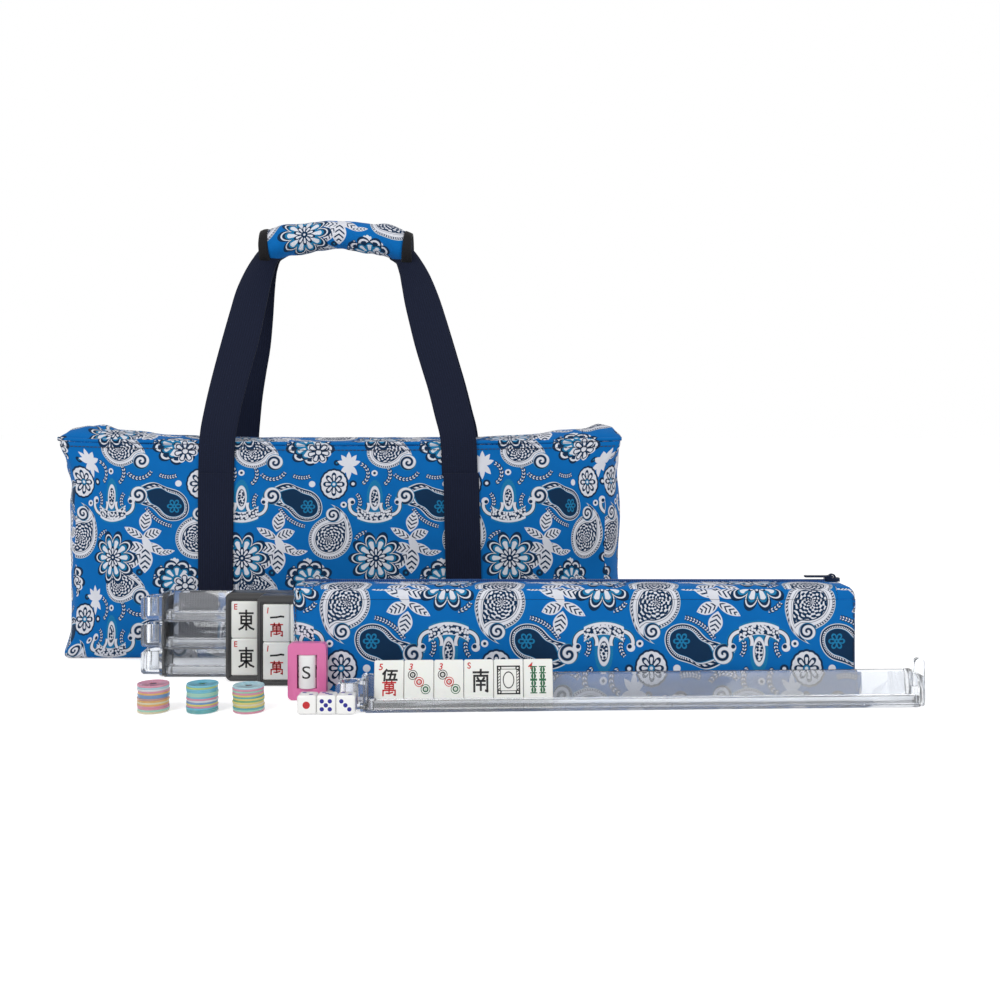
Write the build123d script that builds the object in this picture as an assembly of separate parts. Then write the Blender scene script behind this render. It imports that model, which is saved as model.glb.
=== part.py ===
"""Soft tote case for a tile game, standing with the set that it carries laid out before it.

The tote is sewn from flat panels round a stiff base board.  Its top is two flaps that a
zip joins, and its two webbing loops are gathered in a padded wrap.  Before it stand a slim
case of the same cloth with two full trays in it, two more full trays, a pile of three
clear racks, a fourth rack with six tiles on it, a turning wind marker, dice and chips.

Millimetres.  +X runs along the tote to the right, +Y to its back and +Z up.  The origin is
the middle of the tote's base, on the surface that everything stands on.
"""

import os
from math import asin, cos, degrees, radians, sin, tan

from build123d import *

# ---------------------------------------------------------------- driving dimensions
# Fits
FACE_GAP = 0.3  # between pieces of two bodies that lie close but never touch
RUN_FIT = 0.05  # radial play of a pin in its hole

# Tote
TOTE_LENGTH = 510.0
TOTE_DEPTH = 94.0
TOTE_HEIGHT = 200.0
CLOTH = 2.4  # quilted outer cloth with its lining
BOARD_THICKNESS = 3.0
BOARD_MARGIN = 4.0
PANEL_CORNER = 14.0
PIPING_RADIUS = 1.6
END_TAB_LENGTH = 34.0  # fixed cloth at each end of the top, where the zip stops
FLAP_THICKNESS = 2.0

# Zips
TAPE_WIDTH = 10.0
TAPE_THICKNESS = 0.8
COIL_WIDTH = 2.2
COIL_HEIGHT = 1.6
ZIP_SPLIT = 0.2  # between the two closed halves
SLIDER_LENGTH = 12.0
SLIDER_WALL = 1.1
SLIDER_PLATE = 1.2
PULL_LENGTH = 22.0
PULL_WIDTH = 6.0
PULL_THICKNESS = 1.4
BAIL_RADIUS = 3.2

# Webbing and handle
WEBBING_WIDTH = 32.0
WEBBING_THICKNESS = 2.0
LEG_CENTRE = 110.0  # of each sewn leg from the middle of the tote
LEG_SEAM_DROP = 34.0  # from the tote's top down to the cross seam
WRAP_CENTRE_X = -9.0
WRAP_LENGTH = 136.0
WRAP_RISE = 15.0
WRAP_TOP = 405.0
WRAP_RADIUS = 14.2
BINDING_RADIUS = 16.0
BINDING_WIDTH = 9.0
BUNDLE_HEIGHT = 22.0  # gathered webbing inside the wrap
BUNDLE_DEPTH = 9.0

# Tiles
TILE_WIDTH = 22.0
TILE_HEIGHT = 30.6
TILE_THICKNESS = 13.0
TILE_EDGE = 1.6
TILE_PLAY = 0.2

# Trays
TRAY_COLUMNS = 19
TRAY_ROWS = 2
TRAY_SIDE = 4.2
TRAY_TOP_RAIL = 6.9
TRAY_FLOOR = 2.0
TRAY_RIM = 0.5  # how far the rim stands past the tile faces
TRAY_CORNER = 5.0
TRAY_STEP = 1.4  # width of the shallow step round the pocket
TRAY_STEP_DEPTH = 1.0
TRAY_1_LEFT = -81.0
TRAY_1_FRONT = -135.4
TRAY_2_LEFT = -51.4
TRAY_2_FRONT = -151.5

# Slim case
SLIM_LEFT = -16.0
SLIM_CLOTH = 1.4
SLIM_SIDE_ROOM = 2.4
SLIM_HEAD_ROOM = 0.7  # between the trays in it and its top
SLIM_TOP_THICKNESS = 10.0
SLIM_CORNER = 4.0
SLIM_TOP_ROUND = 8.0
SLIM_BACK_STRIP = 7.4
SLIM_END_TAB = 15.0

# Racks
RACK_LENGTH = 420.0
RACK_DEPTH = 33.0
RACK_HEIGHT = 23.0
RACK_SHEET = 1.8
RACK_END = 4.0
RACK_LEAN = 14.0  # of the back rest, degrees from upright
RACK_SEAT_FRONT = 11.0  # of the seated tiles' lower front edge, behind the rack's front
RACK_REST_HEIGHT = 22.0
RACK_CORNER = 4.0
END_BLOCK = 19.0
END_BLOCK_BACK_GAP = 3.0
END_BLOCK_WALL = 3.0  # of the block's hollow, which is open at the top
PEG_WIDTH = 8.0
PEG_THICKNESS = 6.0
PEG_FOOT = 12.0
PEG_SEAT = 2.0  # how deep the peg is let into the right end plate
PEG_TOP = 33.5
PUSHER_DEPTH = 8.5
PUSHER_HEIGHT = 6.0
PUSHER_FRONT = 0.8
PUSHER_PIN_RADIUS = 1.5
STACK_LEFT = -140.6
STACK_FRONT = -119.4
STACK_COUNT = 3
FRONT_RACK_LEFT = 42.7
FRONT_RACK_FRONT = -238.0
FRONT_RACK_TURN = 2.4  # degrees, its right end further back
RACK_TILES = 6
RACK_TILE_START = 5.2
RACK_TILE_PITCH = 22.3

# Wind marker
MARKER_WIDTH = 29.4
MARKER_HEIGHT = 43.5
MARKER_DEPTH = 9.0
MARKER_LEFT = -17.5
MARKER_FRONT = -199.5
MARKER_CORNER = 3.5
WINDOW_WIDTH = 15.3
WINDOW_HEIGHT = 25.8
DRUM_RADIUS = 6.6
DRUM_PIN_RADIUS = 1.5
DRUM_PIN_LENGTH = 3.0

# Dice and chips
DIE_SIDE = 14.0
DIE_EDGE = 2.0
DIE_LEFT = -2.6
DIE_FRONT = -243.0
DIE_PITCH = 14.2
DICE = 3
CHIP_RADIUS = 11.5
CHIP_HOLE_RADIUS = 3.0
CHIP_THICKNESS = 1.35
CHIP_STACKS = ((-110.6, 15), (-74.6, 15), (-40.5, 14))  # centre X and number of chips
CHIP_CENTRE_Y = -229.5

# ---------------------------------------------------------------- derived sizes
HALF_LENGTH = TOTE_LENGTH / 2
HALF_DEPTH = TOTE_DEPTH / 2
FLAP_TOP = TOTE_HEIGHT
FLAP_BOTTOM = FLAP_TOP - FLAP_THICKNESS
HINGE_Z = FLAP_BOTTOM + FLAP_THICKNESS / 2
HINGE_Y = HALF_DEPTH - PIPING_RADIUS
PANEL_TOP = HINGE_Z - PIPING_RADIUS
FLAP_ROOT = HINGE_Y - PIPING_RADIUS - FACE_GAP  # |Y| where a flap begins
FLAP_HALF_LENGTH = HALF_LENGTH - END_TAB_LENGTH - FACE_GAP
SEAM_Z = TOTE_HEIGHT - LEG_SEAM_DROP
ZIP_OPENING = COIL_WIDTH + SLIDER_WALL + 3 * FACE_GAP  # from the zip's middle to the cloth
PULL_PIVOT_Z = COIL_HEIGHT + SLIDER_PLATE + 2 * FACE_GAP + PULL_THICKNESS / 2  # above the tape
PULL_EYE = BAIL_RADIUS + 2 * FACE_GAP  # from the pivot to the tab

TILE_PITCH_X = TILE_WIDTH + TILE_PLAY
TILE_PITCH_Z = TILE_HEIGHT + TILE_PLAY
TRAY_LENGTH = TRAY_COLUMNS * TILE_PITCH_X + TILE_PLAY + 2 * TRAY_SIDE
TRAY_HEIGHT = TRAY_ROWS * TILE_PITCH_Z + TILE_PLAY + TRAY_SIDE + TRAY_TOP_RAIL
TRAY_DEPTH = TRAY_FLOOR + TILE_THICKNESS + TRAY_RIM

SLIM_LENGTH = TRAY_LENGTH + 2 * (SLIM_CLOTH + SLIM_SIDE_ROOM)
SLIM_DEPTH = 2 * TRAY_DEPTH + 3 * FACE_GAP + 2 * SLIM_CLOTH
SLIM_BACK = TRAY_2_FRONT - FACE_GAP
SLIM_FRONT = SLIM_BACK - SLIM_DEPTH
SLIM_WALL_TOP = SLIM_CLOTH + TRAY_HEIGHT + SLIM_HEAD_ROOM
SLIM_HEIGHT = SLIM_WALL_TOP + SLIM_TOP_THICKNESS
SLIM_FLAP_BACK = SLIM_BACK - SLIM_BACK_STRIP
SLIM_ZIP_Y = SLIM_FLAP_BACK + COIL_WIDTH + SLIDER_WALL + 2 * FACE_GAP  # the zip's middle

PUSHER_PIN_X = RACK_END + FACE_GAP + PUSHER_DEPTH / 2
PUSHER_PIN_Y = PUSHER_FRONT + PUSHER_DEPTH / 2


# ---------------------------------------------------------------- helpers
def save(name, shape):
    """Write one sub-part, whose file and label are its node's name."""
    shape.label = name
    export_step(shape, os.path.join("parts", name + ".step"))


def slab(x0, x1, y0, y1, z0, z1):
    """A box between two corners."""
    return Pos((x0 + x1) / 2, (y0 + y1) / 2, (z0 + z1) / 2) * Box(x1 - x0, y1 - y0, z1 - z0)


def plate_facing_y(x0, x1, z0, z1, y0, y1, corner):
    """An upright plate with four rounded corners, y0 to y1 thick."""
    face = Plane.XZ * Pos((x0 + x1) / 2, (z0 + z1) / 2) * RectangleRounded(x1 - x0, z1 - z0, corner)
    return Pos(0, y1, 0) * extrude(face, y1 - y0)


def plate_facing_z(x0, x1, y0, y1, z0, z1, corner):
    """A lying plate with four rounded corners, z0 to z1 thick."""
    face = Pos((x0 + x1) / 2, (y0 + y1) / 2) * RectangleRounded(x1 - x0, y1 - y0, corner)
    return Pos(0, 0, z0) * extrude(face, z1 - z0)


def along_x(outline, x0, x1):
    """Extrude a closed outline of (y, z) points from x0 to x1."""
    face = make_face(Polyline(*[(0, y, z) for y, z in outline], close=True))
    return Pos(x0, 0, 0) * extrude(face, x1 - x0, dir=(1, 0, 0))


# ---------------------------------------------------------------- tote shell
def tote_base():
    """The base panel, with the stiff board that lies on it inside."""
    panel = plate_facing_z(-HALF_LENGTH + CLOTH, HALF_LENGTH - CLOTH, -HALF_DEPTH + CLOTH,
                           HALF_DEPTH - CLOTH, 0, CLOTH, PANEL_CORNER / 2)
    inset = CLOTH + BOARD_MARGIN
    board = plate_facing_z(-HALF_LENGTH + inset, HALF_LENGTH - inset, -HALF_DEPTH + inset,
                           HALF_DEPTH - inset, CLOTH, CLOTH + BOARD_THICKNESS, PANEL_CORNER / 2)
    save("base_panel", panel)
    save("base_board", board)


def tote_walls():
    """Front and back panels, and the two gussets that stand between them."""
    front = slab(-HALF_LENGTH, HALF_LENGTH, -HALF_DEPTH, -HALF_DEPTH + CLOTH, 0, PANEL_TOP)
    edges = front.edges().filter_by(Axis.Y)
    front = fillet(edges.sort_by(Axis.Z)[:2], PANEL_CORNER)
    save("front_panel", front)
    save("back_panel", mirror(front, about=Plane.XZ))
    reach = HALF_DEPTH - CLOTH
    right = slab(HALF_LENGTH - CLOTH, HALF_LENGTH, -reach, reach, 0, PANEL_TOP)
    save("right_gusset", right)
    save("left_gusset", mirror(right, about=Plane.YZ))


def tote_piping():
    """The rolled edge along the front and back of the top, which the flaps fold about."""
    roll = Rot(0, 90, 0) * Cylinder(PIPING_RADIUS, TOTE_LENGTH)
    save("top_piping", Pos(0, -HINGE_Y, HINGE_Z) * roll + Pos(0, HINGE_Y, HINGE_Z) * roll)


def tote_end_tabs():
    """Fixed cloth at both ends of the top, each with the last stretch of the zip in it."""
    start = HALF_LENGTH - END_TAB_LENGTH
    tab = slab(start, HALF_LENGTH, -FLAP_ROOT, FLAP_ROOT, PANEL_TOP, FLAP_TOP)
    groove_end = HALF_LENGTH - CLOTH
    tab -= slab(start, groove_end, -ZIP_OPENING, ZIP_OPENING, FLAP_BOTTOM, FLAP_TOP)
    tab += slab(start, groove_end, -COIL_WIDTH, COIL_WIDTH, FLAP_BOTTOM, FLAP_BOTTOM + COIL_HEIGHT)
    save("top_end_tabs", Compound(children=[tab, mirror(tab, about=Plane.YZ)]))


def tote_flaps():
    """The two halves of the top, each as wide as the way from its hinge to the zip."""
    front = slab(-FLAP_HALF_LENGTH, FLAP_HALF_LENGTH, -FLAP_ROOT, -ZIP_OPENING,
                 FLAP_BOTTOM, FLAP_TOP)
    root = front.edges().filter_by(Axis.X).group_by(Axis.Y)[0]
    front = chamfer(root, FLAP_THICKNESS / 4)
    save("top_flap_front", front)
    save("top_flap_back", mirror(front, about=Plane.XZ))


def tote_zip():
    """Both halves of the tote's zip, and its slider and pull on the right end tab."""
    inner = ZIP_SPLIT / 2
    tape = slab(-FLAP_HALF_LENGTH, FLAP_HALF_LENGTH, -inner - TAPE_WIDTH, -inner,
                FLAP_BOTTOM - TAPE_THICKNESS, FLAP_BOTTOM)
    coil = slab(-FLAP_HALF_LENGTH, FLAP_HALF_LENGTH, -COIL_WIDTH, -inner,
                FLAP_BOTTOM, FLAP_BOTTOM + COIL_HEIGHT)
    front = tape + coil
    save("zip_half_front", front)
    save("zip_half_back", mirror(front, about=Plane.XZ))
    seat = Pos(HALF_LENGTH - CLOTH - SLIDER_LENGTH / 2 - FACE_GAP, 0, FLAP_BOTTOM)
    save("zip_slider", seat * zip_slider())
    save("zip_pull", seat * zip_pull())


def zip_slider():
    """A saddle over the coil: top plate, two side walls and a bail for the pull."""
    roof = COIL_HEIGHT + FACE_GAP
    half_width = COIL_WIDTH + FACE_GAP + SLIDER_WALL
    half_length = SLIDER_LENGTH / 2
    body = slab(-half_length, half_length, -half_width, half_width, FACE_GAP, roof + SLIDER_PLATE)
    upright = body.edges().filter_by(Axis.Z)
    body = fillet(upright, half_width / 2)
    channel = half_width - SLIDER_WALL
    body -= slab(-half_length, half_length, -channel, channel, FACE_GAP, roof)
    arch = Circle(BAIL_RADIUS) - Circle(BAIL_RADIUS - SLIDER_PLATE)  # a half ring on edge
    arch -= Pos(0, -BAIL_RADIUS) * Rectangle(2 * BAIL_RADIUS, 2 * BAIL_RADIUS)
    bail = Plane.XZ * Pos(0, roof + SLIDER_PLATE) * arch
    return body + Pos(0, SLIDER_WALL, 0) * extrude(bail, 2 * SLIDER_WALL)


def zip_pull():
    """The flat pull: a round bar through the bail, two arms and a tab, lying towards -X."""
    z = PULL_PIVOT_Z
    half = PULL_THICKNESS / 2
    tab = plate_facing_z(-PULL_LENGTH, half, -PULL_WIDTH / 2, PULL_WIDTH / 2, z - half, z + half,
                         PULL_WIDTH / 4)
    eye = slab(-PULL_EYE, half, -SLIDER_WALL - FACE_GAP, SLIDER_WALL + FACE_GAP, z - half, z + half)
    bar = Pos(0, 0, z) * Rot(90, 0, 0) * Cylinder(half, PULL_WIDTH - 2 * half)
    return tab - eye + bar


# ---------------------------------------------------------------- webbing and handle
def sewn_webbing():
    """The two legs of each loop, sewn flat to the panel below the cross seam."""
    y0 = -HALF_DEPTH - WEBBING_THICKNESS
    legs = [slab(x - WEBBING_WIDTH / 2, x + WEBBING_WIDTH / 2, y0, -HALF_DEPTH,
                 PANEL_CORNER, SEAM_Z) for x in (-LEG_CENTRE, LEG_CENTRE)]
    front = legs[0] + legs[1]
    save("webbing_front", front)
    save("webbing_back", mirror(front, about=Plane.XZ))


WRAP_ARC_RADIUS = ((WRAP_LENGTH / 2) ** 2 + WRAP_RISE ** 2) / (2 * WRAP_RISE)
WRAP_CROWN_Z = WRAP_TOP - WRAP_RADIUS
WRAP_END_Z = WRAP_CROWN_Z - WRAP_RISE


def arc_point(angle):
    """A point on the wrap's centre line, angle in radians from its crown."""
    return (WRAP_CENTRE_X + WRAP_ARC_RADIUS * sin(angle), 0,
            WRAP_CROWN_Z - WRAP_ARC_RADIUS * (1 - cos(angle)))


WRAP_HALF_ANGLE = asin(WRAP_LENGTH / 2 / WRAP_ARC_RADIUS)


def sleeve(section, start, end):
    """Sweep a section along the wrap's arc between two angles."""
    path = ThreePointArc(arc_point(start), arc_point((start + end) / 2), arc_point(end))
    return sweep(Plane(origin=path @ 0, z_dir=path % 0, x_dir=(0, 1, 0)) * section, path=path)


def handle_wrap():
    """The padded sleeve, its two bindings, and the gathered webbing that it holds."""
    bound = BINDING_WIDTH / WRAP_ARC_RADIUS
    inner_end = WRAP_HALF_ANGLE - bound
    hole = Rectangle(BUNDLE_DEPTH + 2 * FACE_GAP, BUNDLE_HEIGHT + 2 * FACE_GAP)
    save("handle_wrap", sleeve(Circle(WRAP_RADIUS) - hole, -inner_end, inner_end))
    rim = Circle(BINDING_RADIUS) - hole
    left = sleeve(rim, -WRAP_HALF_ANGLE, -inner_end)
    right = sleeve(rim, inner_end, WRAP_HALF_ANGLE)
    save("wrap_bindings", Compound(children=[left, right]))
    save("webbing_bundle", sleeve(Rectangle(BUNDLE_DEPTH, BUNDLE_HEIGHT), -WRAP_HALF_ANGLE, WRAP_HALF_ANGLE))


def strap_leg(side):
    """One free leg of the front loop, from its cross seam to the wrap; side is -1 or 1."""
    end_x = WRAP_CENTRE_X + side * WRAP_LENGTH / 2
    lift = WRAP_END_Z - TOTE_HEIGHT
    panel_y = -HALF_DEPTH - WEBBING_THICKNESS / 2
    bundle_y = -BUNDLE_DEPTH / 4
    leg_x = side * LEG_CENTRE
    stations = ((0, 0, 0), (0.28, 0.06, 3), (0.56, 0.24, 10), (0.8, 0.52, 24), (1, 1, 90))
    sections = [Plane(origin=(leg_x, panel_y, SEAM_Z), z_dir=(0, 0, 1), x_dir=(1, 0, 0))
                * Rectangle(WEBBING_WIDTH, WEBBING_THICKNESS)]
    turn_end = 90 - degrees(WRAP_HALF_ANGLE)
    for rise, lean, turn in stations:
        angle = radians(turn / 90 * turn_end)
        x = leg_x + (end_x - leg_x) * lean
        y = panel_y + (bundle_y - panel_y) * rise
        width = WEBBING_WIDTH + (BUNDLE_HEIGHT - WEBBING_WIDTH) * lean
        thickness = WEBBING_THICKNESS + (BUNDLE_DEPTH / 2 - 1 - WEBBING_THICKNESS) * lean
        plane = Plane(origin=(x, y, TOTE_HEIGHT + lift * rise), z_dir=(-side * sin(angle), 0, cos(angle)),
                      x_dir=(cos(angle), 0, side * sin(angle)))
        sections.append(plane * Rectangle(width, thickness))
    return loft(sections, ruled=True)


def handle_straps():
    """The free webbing of both loops, leaning in from the panels to the wrap."""
    legs = [strap_leg(-1), strap_leg(1)]
    save("strap_front", Compound(children=legs))
    save("strap_back", Compound(children=[mirror(leg, about=Plane.XZ) for leg in legs]))


# ---------------------------------------------------------------- tiles and trays
def tile(edge):
    """One tile standing on its short side, its face towards -Y, corners cut where edge > 0."""
    body = slab(0, TILE_WIDTH, 0, TILE_THICKNESS, 0, TILE_HEIGHT)
    return chamfer(body.edges(), edge) if edge else body


def tray(left, front, foot):
    """A tray on its long edge: a moulded pan with rounded corners, open towards -Y."""
    pan = plate_facing_y(left, left + TRAY_LENGTH, foot, foot + TRAY_HEIGHT,
                         front, front + TRAY_DEPTH, TRAY_CORNER)
    pocket = plate_facing_y(left + TRAY_SIDE, left + TRAY_LENGTH - TRAY_SIDE, foot + TRAY_SIDE,
                            foot + TRAY_HEIGHT - TRAY_TOP_RAIL,
                            front, front + TRAY_DEPTH - TRAY_FLOOR, 2 * TILE_PLAY)
    step = plate_facing_y(left + TRAY_SIDE - TRAY_STEP, left + TRAY_LENGTH - TRAY_SIDE + TRAY_STEP,
                          foot + TRAY_SIDE - TRAY_STEP, foot + TRAY_HEIGHT - TRAY_TOP_RAIL + TRAY_STEP,
                          front, front + TRAY_STEP_DEPTH, TRAY_STEP)
    return pan - pocket - step


def tray_tiles(left, front, foot, shown_columns):
    """The tiles of one tray; only those that can be seen get their corners cut."""
    shaped, plain = tile(TILE_EDGE / 2), tile(0)
    tiles = []
    for row in range(TRAY_ROWS):
        for column in range(TRAY_COLUMNS):
            one = shaped if column < shown_columns else plain
            x = left + TRAY_SIDE + TILE_PLAY + column * TILE_PITCH_X
            z = foot + TRAY_SIDE + TILE_PLAY + row * TILE_PITCH_Z
            tiles.append(Pos(x, front + TRAY_RIM, z) * one)
    return Compound(children=tiles)


def trays():
    """Two trays stand by themselves, and two more stand inside the slim case."""
    case_left = SLIM_LEFT + SLIM_CLOTH + SLIM_SIDE_ROOM
    case_front = SLIM_FRONT + SLIM_CLOTH + FACE_GAP
    places = ((TRAY_1_LEFT, TRAY_1_FRONT, 0, 2), (TRAY_2_LEFT, TRAY_2_FRONT, 0, 3),
              (case_left, case_front, SLIM_CLOTH, 0),
              (case_left, case_front + TRAY_DEPTH + FACE_GAP, SLIM_CLOTH, 0))
    for number, (left, front, foot, shown) in enumerate(places, 1):
        save(f"tray_{number}", tray(left, front, foot))
        save(f"tray_{number}_tiles", tray_tiles(left, front, foot, shown))


# ---------------------------------------------------------------- slim case
def slim_case():
    """A sewn pouch open at the top, its top flap hinged at the front, and its zip."""
    right = SLIM_LEFT + SLIM_LENGTH
    outer = plate_facing_z(SLIM_LEFT, right, SLIM_FRONT, SLIM_BACK, 0, SLIM_WALL_TOP, SLIM_CORNER)
    inner = plate_facing_z(SLIM_LEFT + SLIM_CLOTH, right - SLIM_CLOTH, SLIM_FRONT + SLIM_CLOTH,
                           SLIM_BACK - SLIM_CLOTH, SLIM_CLOTH, SLIM_WALL_TOP, SLIM_CORNER - SLIM_CLOTH)
    save("slim_case_shell", outer - inner)

    top = plate_facing_z(SLIM_LEFT, right, SLIM_FRONT, SLIM_BACK, SLIM_WALL_TOP, SLIM_HEIGHT, SLIM_CORNER)
    top = fillet(top.edges().group_by(Axis.Z)[-1], SLIM_CORNER / 2)
    flap_left, flap_right = SLIM_LEFT + SLIM_END_TAB, right - SLIM_END_TAB
    save("slim_case_top", top - slab(flap_left, flap_right, SLIM_FRONT, SLIM_FLAP_BACK,
                                     SLIM_WALL_TOP, SLIM_HEIGHT))
    flap = slab(flap_left + FACE_GAP, flap_right - FACE_GAP, SLIM_FRONT, SLIM_FLAP_BACK - FACE_GAP,
                SLIM_WALL_TOP + FACE_GAP, SLIM_HEIGHT)
    front_top = flap.edges().filter_by(Axis.X).group_by(Axis.Y)[0].sort_by(Axis.Z)[-1]
    save("slim_case_flap", fillet(front_top, SLIM_TOP_ROUND))


def slim_zip():
    """The slim case's zip lies along the back of its top, with its slider at the right."""
    start = SLIM_LEFT + SLIM_CORNER
    end = SLIM_LEFT + SLIM_LENGTH - SLIM_CORNER
    save("slim_zip_coil", slab(start, end, SLIM_ZIP_Y - COIL_WIDTH, SLIM_ZIP_Y + COIL_WIDTH,
                               SLIM_HEIGHT, SLIM_HEIGHT + COIL_HEIGHT))
    seat = Pos(end - SLIDER_LENGTH / 2, SLIM_ZIP_Y, SLIM_HEIGHT)
    save("slim_zip_slider", seat * zip_slider())
    save("slim_zip_pull", seat * zip_pull())


# ---------------------------------------------------------------- racks
def rack_shelf():
    """The bent sheet of a rack: base, leaning back rest, top fold and rear leg."""
    lean = radians(RACK_LEAN)
    rest_foot = RACK_SEAT_FRONT + (TILE_THICKNESS + FACE_GAP) * cos(lean)
    rest_top = rest_foot + (RACK_REST_HEIGHT - RACK_SHEET) * tan(lean)
    t = RACK_SHEET
    outline = ((0, 0), (rest_foot + t, 0), (rest_top + t, RACK_REST_HEIGHT - t),
               (RACK_DEPTH - t, 0), (RACK_DEPTH, 0), (RACK_DEPTH, t),
               (rest_top + 1.9 * t, RACK_REST_HEIGHT), (rest_top, RACK_REST_HEIGHT),
               (rest_foot, t), (0, t))
    return along_x(outline, RACK_END, RACK_LENGTH - RACK_END)


def rack_ends():
    """The end plates, which close the sheet and carry the rack above; the right one is slotted."""
    face = Plane.YZ * Pos(RACK_DEPTH / 2, RACK_HEIGHT / 2) * RectangleRounded(
        RACK_DEPTH, RACK_HEIGHT, RACK_CORNER)
    plate = extrude(face, RACK_END)
    half_slot = PEG_THICKNESS / 2
    slot = slab(RACK_LENGTH - PEG_SEAT, RACK_LENGTH, RACK_DEPTH / 2 - half_slot - RUN_FIT,
                RACK_DEPTH / 2 + half_slot + RUN_FIT, 0, RACK_HEIGHT)
    return plate, Pos(RACK_LENGTH - RACK_END, 0, 0) * plate - slot


def rack_block():
    """The clear block on the left end plate, a cup open at the top."""
    y1 = RACK_DEPTH - END_BLOCK_BACK_GAP
    block = slab(-END_BLOCK, 0, y1 - END_BLOCK, y1, 0, END_BLOCK)
    outer = block.edges().filter_by(Axis.Y).sort_by(Axis.X)[:2]
    block = fillet(outer, END_BLOCK_WALL)
    hollow = Cylinder(END_BLOCK / 2 - END_BLOCK_WALL, END_BLOCK - END_BLOCK_WALL)
    return block - Pos(-END_BLOCK / 2, y1 - END_BLOCK / 2, (END_BLOCK + END_BLOCK_WALL) / 2) * hollow


def rack_peg():
    """The round-topped tongue, let into the right end plate's slot."""
    radius = PEG_WIDTH / 2
    height = PEG_TOP - radius - PEG_FOOT
    face = Plane.XZ * Pos(RACK_LENGTH - PEG_SEAT + radius, PEG_FOOT + height / 2) * (
        Rectangle(PEG_WIDTH, height) + Pos(0, height / 2) * Circle(radius))
    return Pos(0, (RACK_DEPTH + PEG_THICKNESS) / 2, 0) * extrude(face, PEG_THICKNESS)


def rack_pusher():
    """The bar before the tiles, with a round eye at its left end for the pivot pin."""
    z0 = RACK_SHEET + FACE_GAP
    radius = PUSHER_DEPTH / 2
    right = RACK_LENGTH - RACK_END - FACE_GAP
    face = (Pos(PUSHER_PIN_X, PUSHER_PIN_Y) * (Circle(radius) + Pos((right - PUSHER_PIN_X) / 2, 0)
            * Rectangle(right - PUSHER_PIN_X, PUSHER_DEPTH)
            - Circle(PUSHER_PIN_RADIUS + RUN_FIT)))
    return Pos(0, 0, z0) * extrude(face, PUSHER_HEIGHT)


def rack_pin():
    """The pivot pin, headed above the pusher and seated on the base sheet."""
    z0 = RACK_SHEET
    shank = PUSHER_HEIGHT + 2 * FACE_GAP
    pin = Pos(0, 0, z0 + shank / 2) * Cylinder(PUSHER_PIN_RADIUS, shank)
    head = Pos(0, 0, z0 + shank + 0.6) * Cylinder(2 * PUSHER_PIN_RADIUS, 1.2)
    return Pos(PUSHER_PIN_X, PUSHER_PIN_Y, 0) * (pin + head)


def racks():
    """A pile of three racks at the left, and one with tiles on it before the slim case."""
    for level in range(STACK_COUNT):
        place = Pos(STACK_LEFT, STACK_FRONT, level * RACK_HEIGHT)
        save(f"rack_{level + 1}_shelf", place * rack_shelf())
        fixed = (*rack_ends(), rack_block(), rack_peg(), rack_pin())
        save(f"rack_{level + 1}_ends", Compound(children=[place * piece for piece in fixed]))
        save(f"rack_{level + 1}_pusher", place * rack_pusher())
    place = Pos(FRONT_RACK_LEFT, FRONT_RACK_FRONT, 0) * Rot(0, 0, FRONT_RACK_TURN)
    save("front_rack_shelf", place * rack_shelf())
    save("front_rack_ends", Compound(children=[place * plate for plate in rack_ends()]))
    save("front_rack_block", place * rack_block())
    save("front_rack_peg", place * rack_peg())
    save("front_rack_pusher", place * rack_pusher())
    save("front_rack_pin", place * rack_pin())

    lean = radians(RACK_LEAN)
    seat_z = RACK_SHEET + FACE_GAP / 2 + TILE_THICKNESS * sin(lean)
    leaning = Pos(0, RACK_SEAT_FRONT, seat_z) * Rot(-RACK_LEAN, 0, 0) * tile(TILE_EDGE)
    tiles = [place * Pos(RACK_END + RACK_TILE_START + i * RACK_TILE_PITCH, 0, 0) * leaning
             for i in range(RACK_TILES)]
    save("rack_tiles", Compound(children=tiles))


# ---------------------------------------------------------------- wind marker
def wind_marker():
    """A frame in two halves, with a turning drum trapped between them."""
    x_mid = MARKER_LEFT + MARKER_WIDTH / 2
    y_mid = MARKER_FRONT + MARKER_DEPTH / 2
    z_mid = MARKER_HEIGHT / 2
    window = slab(x_mid - WINDOW_WIDTH / 2, x_mid + WINDOW_WIDTH / 2, MARKER_FRONT,
                  MARKER_FRONT + MARKER_DEPTH, z_mid - WINDOW_HEIGHT / 2, z_mid + WINDOW_HEIGHT / 2)
    drum_half = WINDOW_HEIGHT / 2 - FACE_GAP
    bearing = Pos(x_mid, y_mid, z_mid) * Cylinder(DRUM_PIN_RADIUS + RUN_FIT, 2 * (
        WINDOW_HEIGHT / 2 + DRUM_PIN_LENGTH))
    for name, y0 in (("marker_front", MARKER_FRONT), ("marker_back", y_mid)):
        half = plate_facing_y(MARKER_LEFT, MARKER_LEFT + MARKER_WIDTH, 0, MARKER_HEIGHT,
                              y0, y0 + MARKER_DEPTH / 2, MARKER_CORNER)
        save(name, half - window - bearing)
    drum = Cylinder(DRUM_RADIUS, 2 * drum_half) + Cylinder(
        DRUM_PIN_RADIUS, 2 * (drum_half + DRUM_PIN_LENGTH))
    save("marker_drum", Pos(x_mid, y_mid, z_mid) * drum)


# ---------------------------------------------------------------- dice and chips
def dice():
    """Dice in a row, touching the floor side by side."""
    for number in range(DICE):
        x = DIE_LEFT + number * DIE_PITCH
        die = slab(x, x + DIE_SIDE, DIE_FRONT, DIE_FRONT + DIE_SIDE, 0, DIE_SIDE)
        save(f"die_{number + 1}", fillet(die.edges(), DIE_EDGE))


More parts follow.
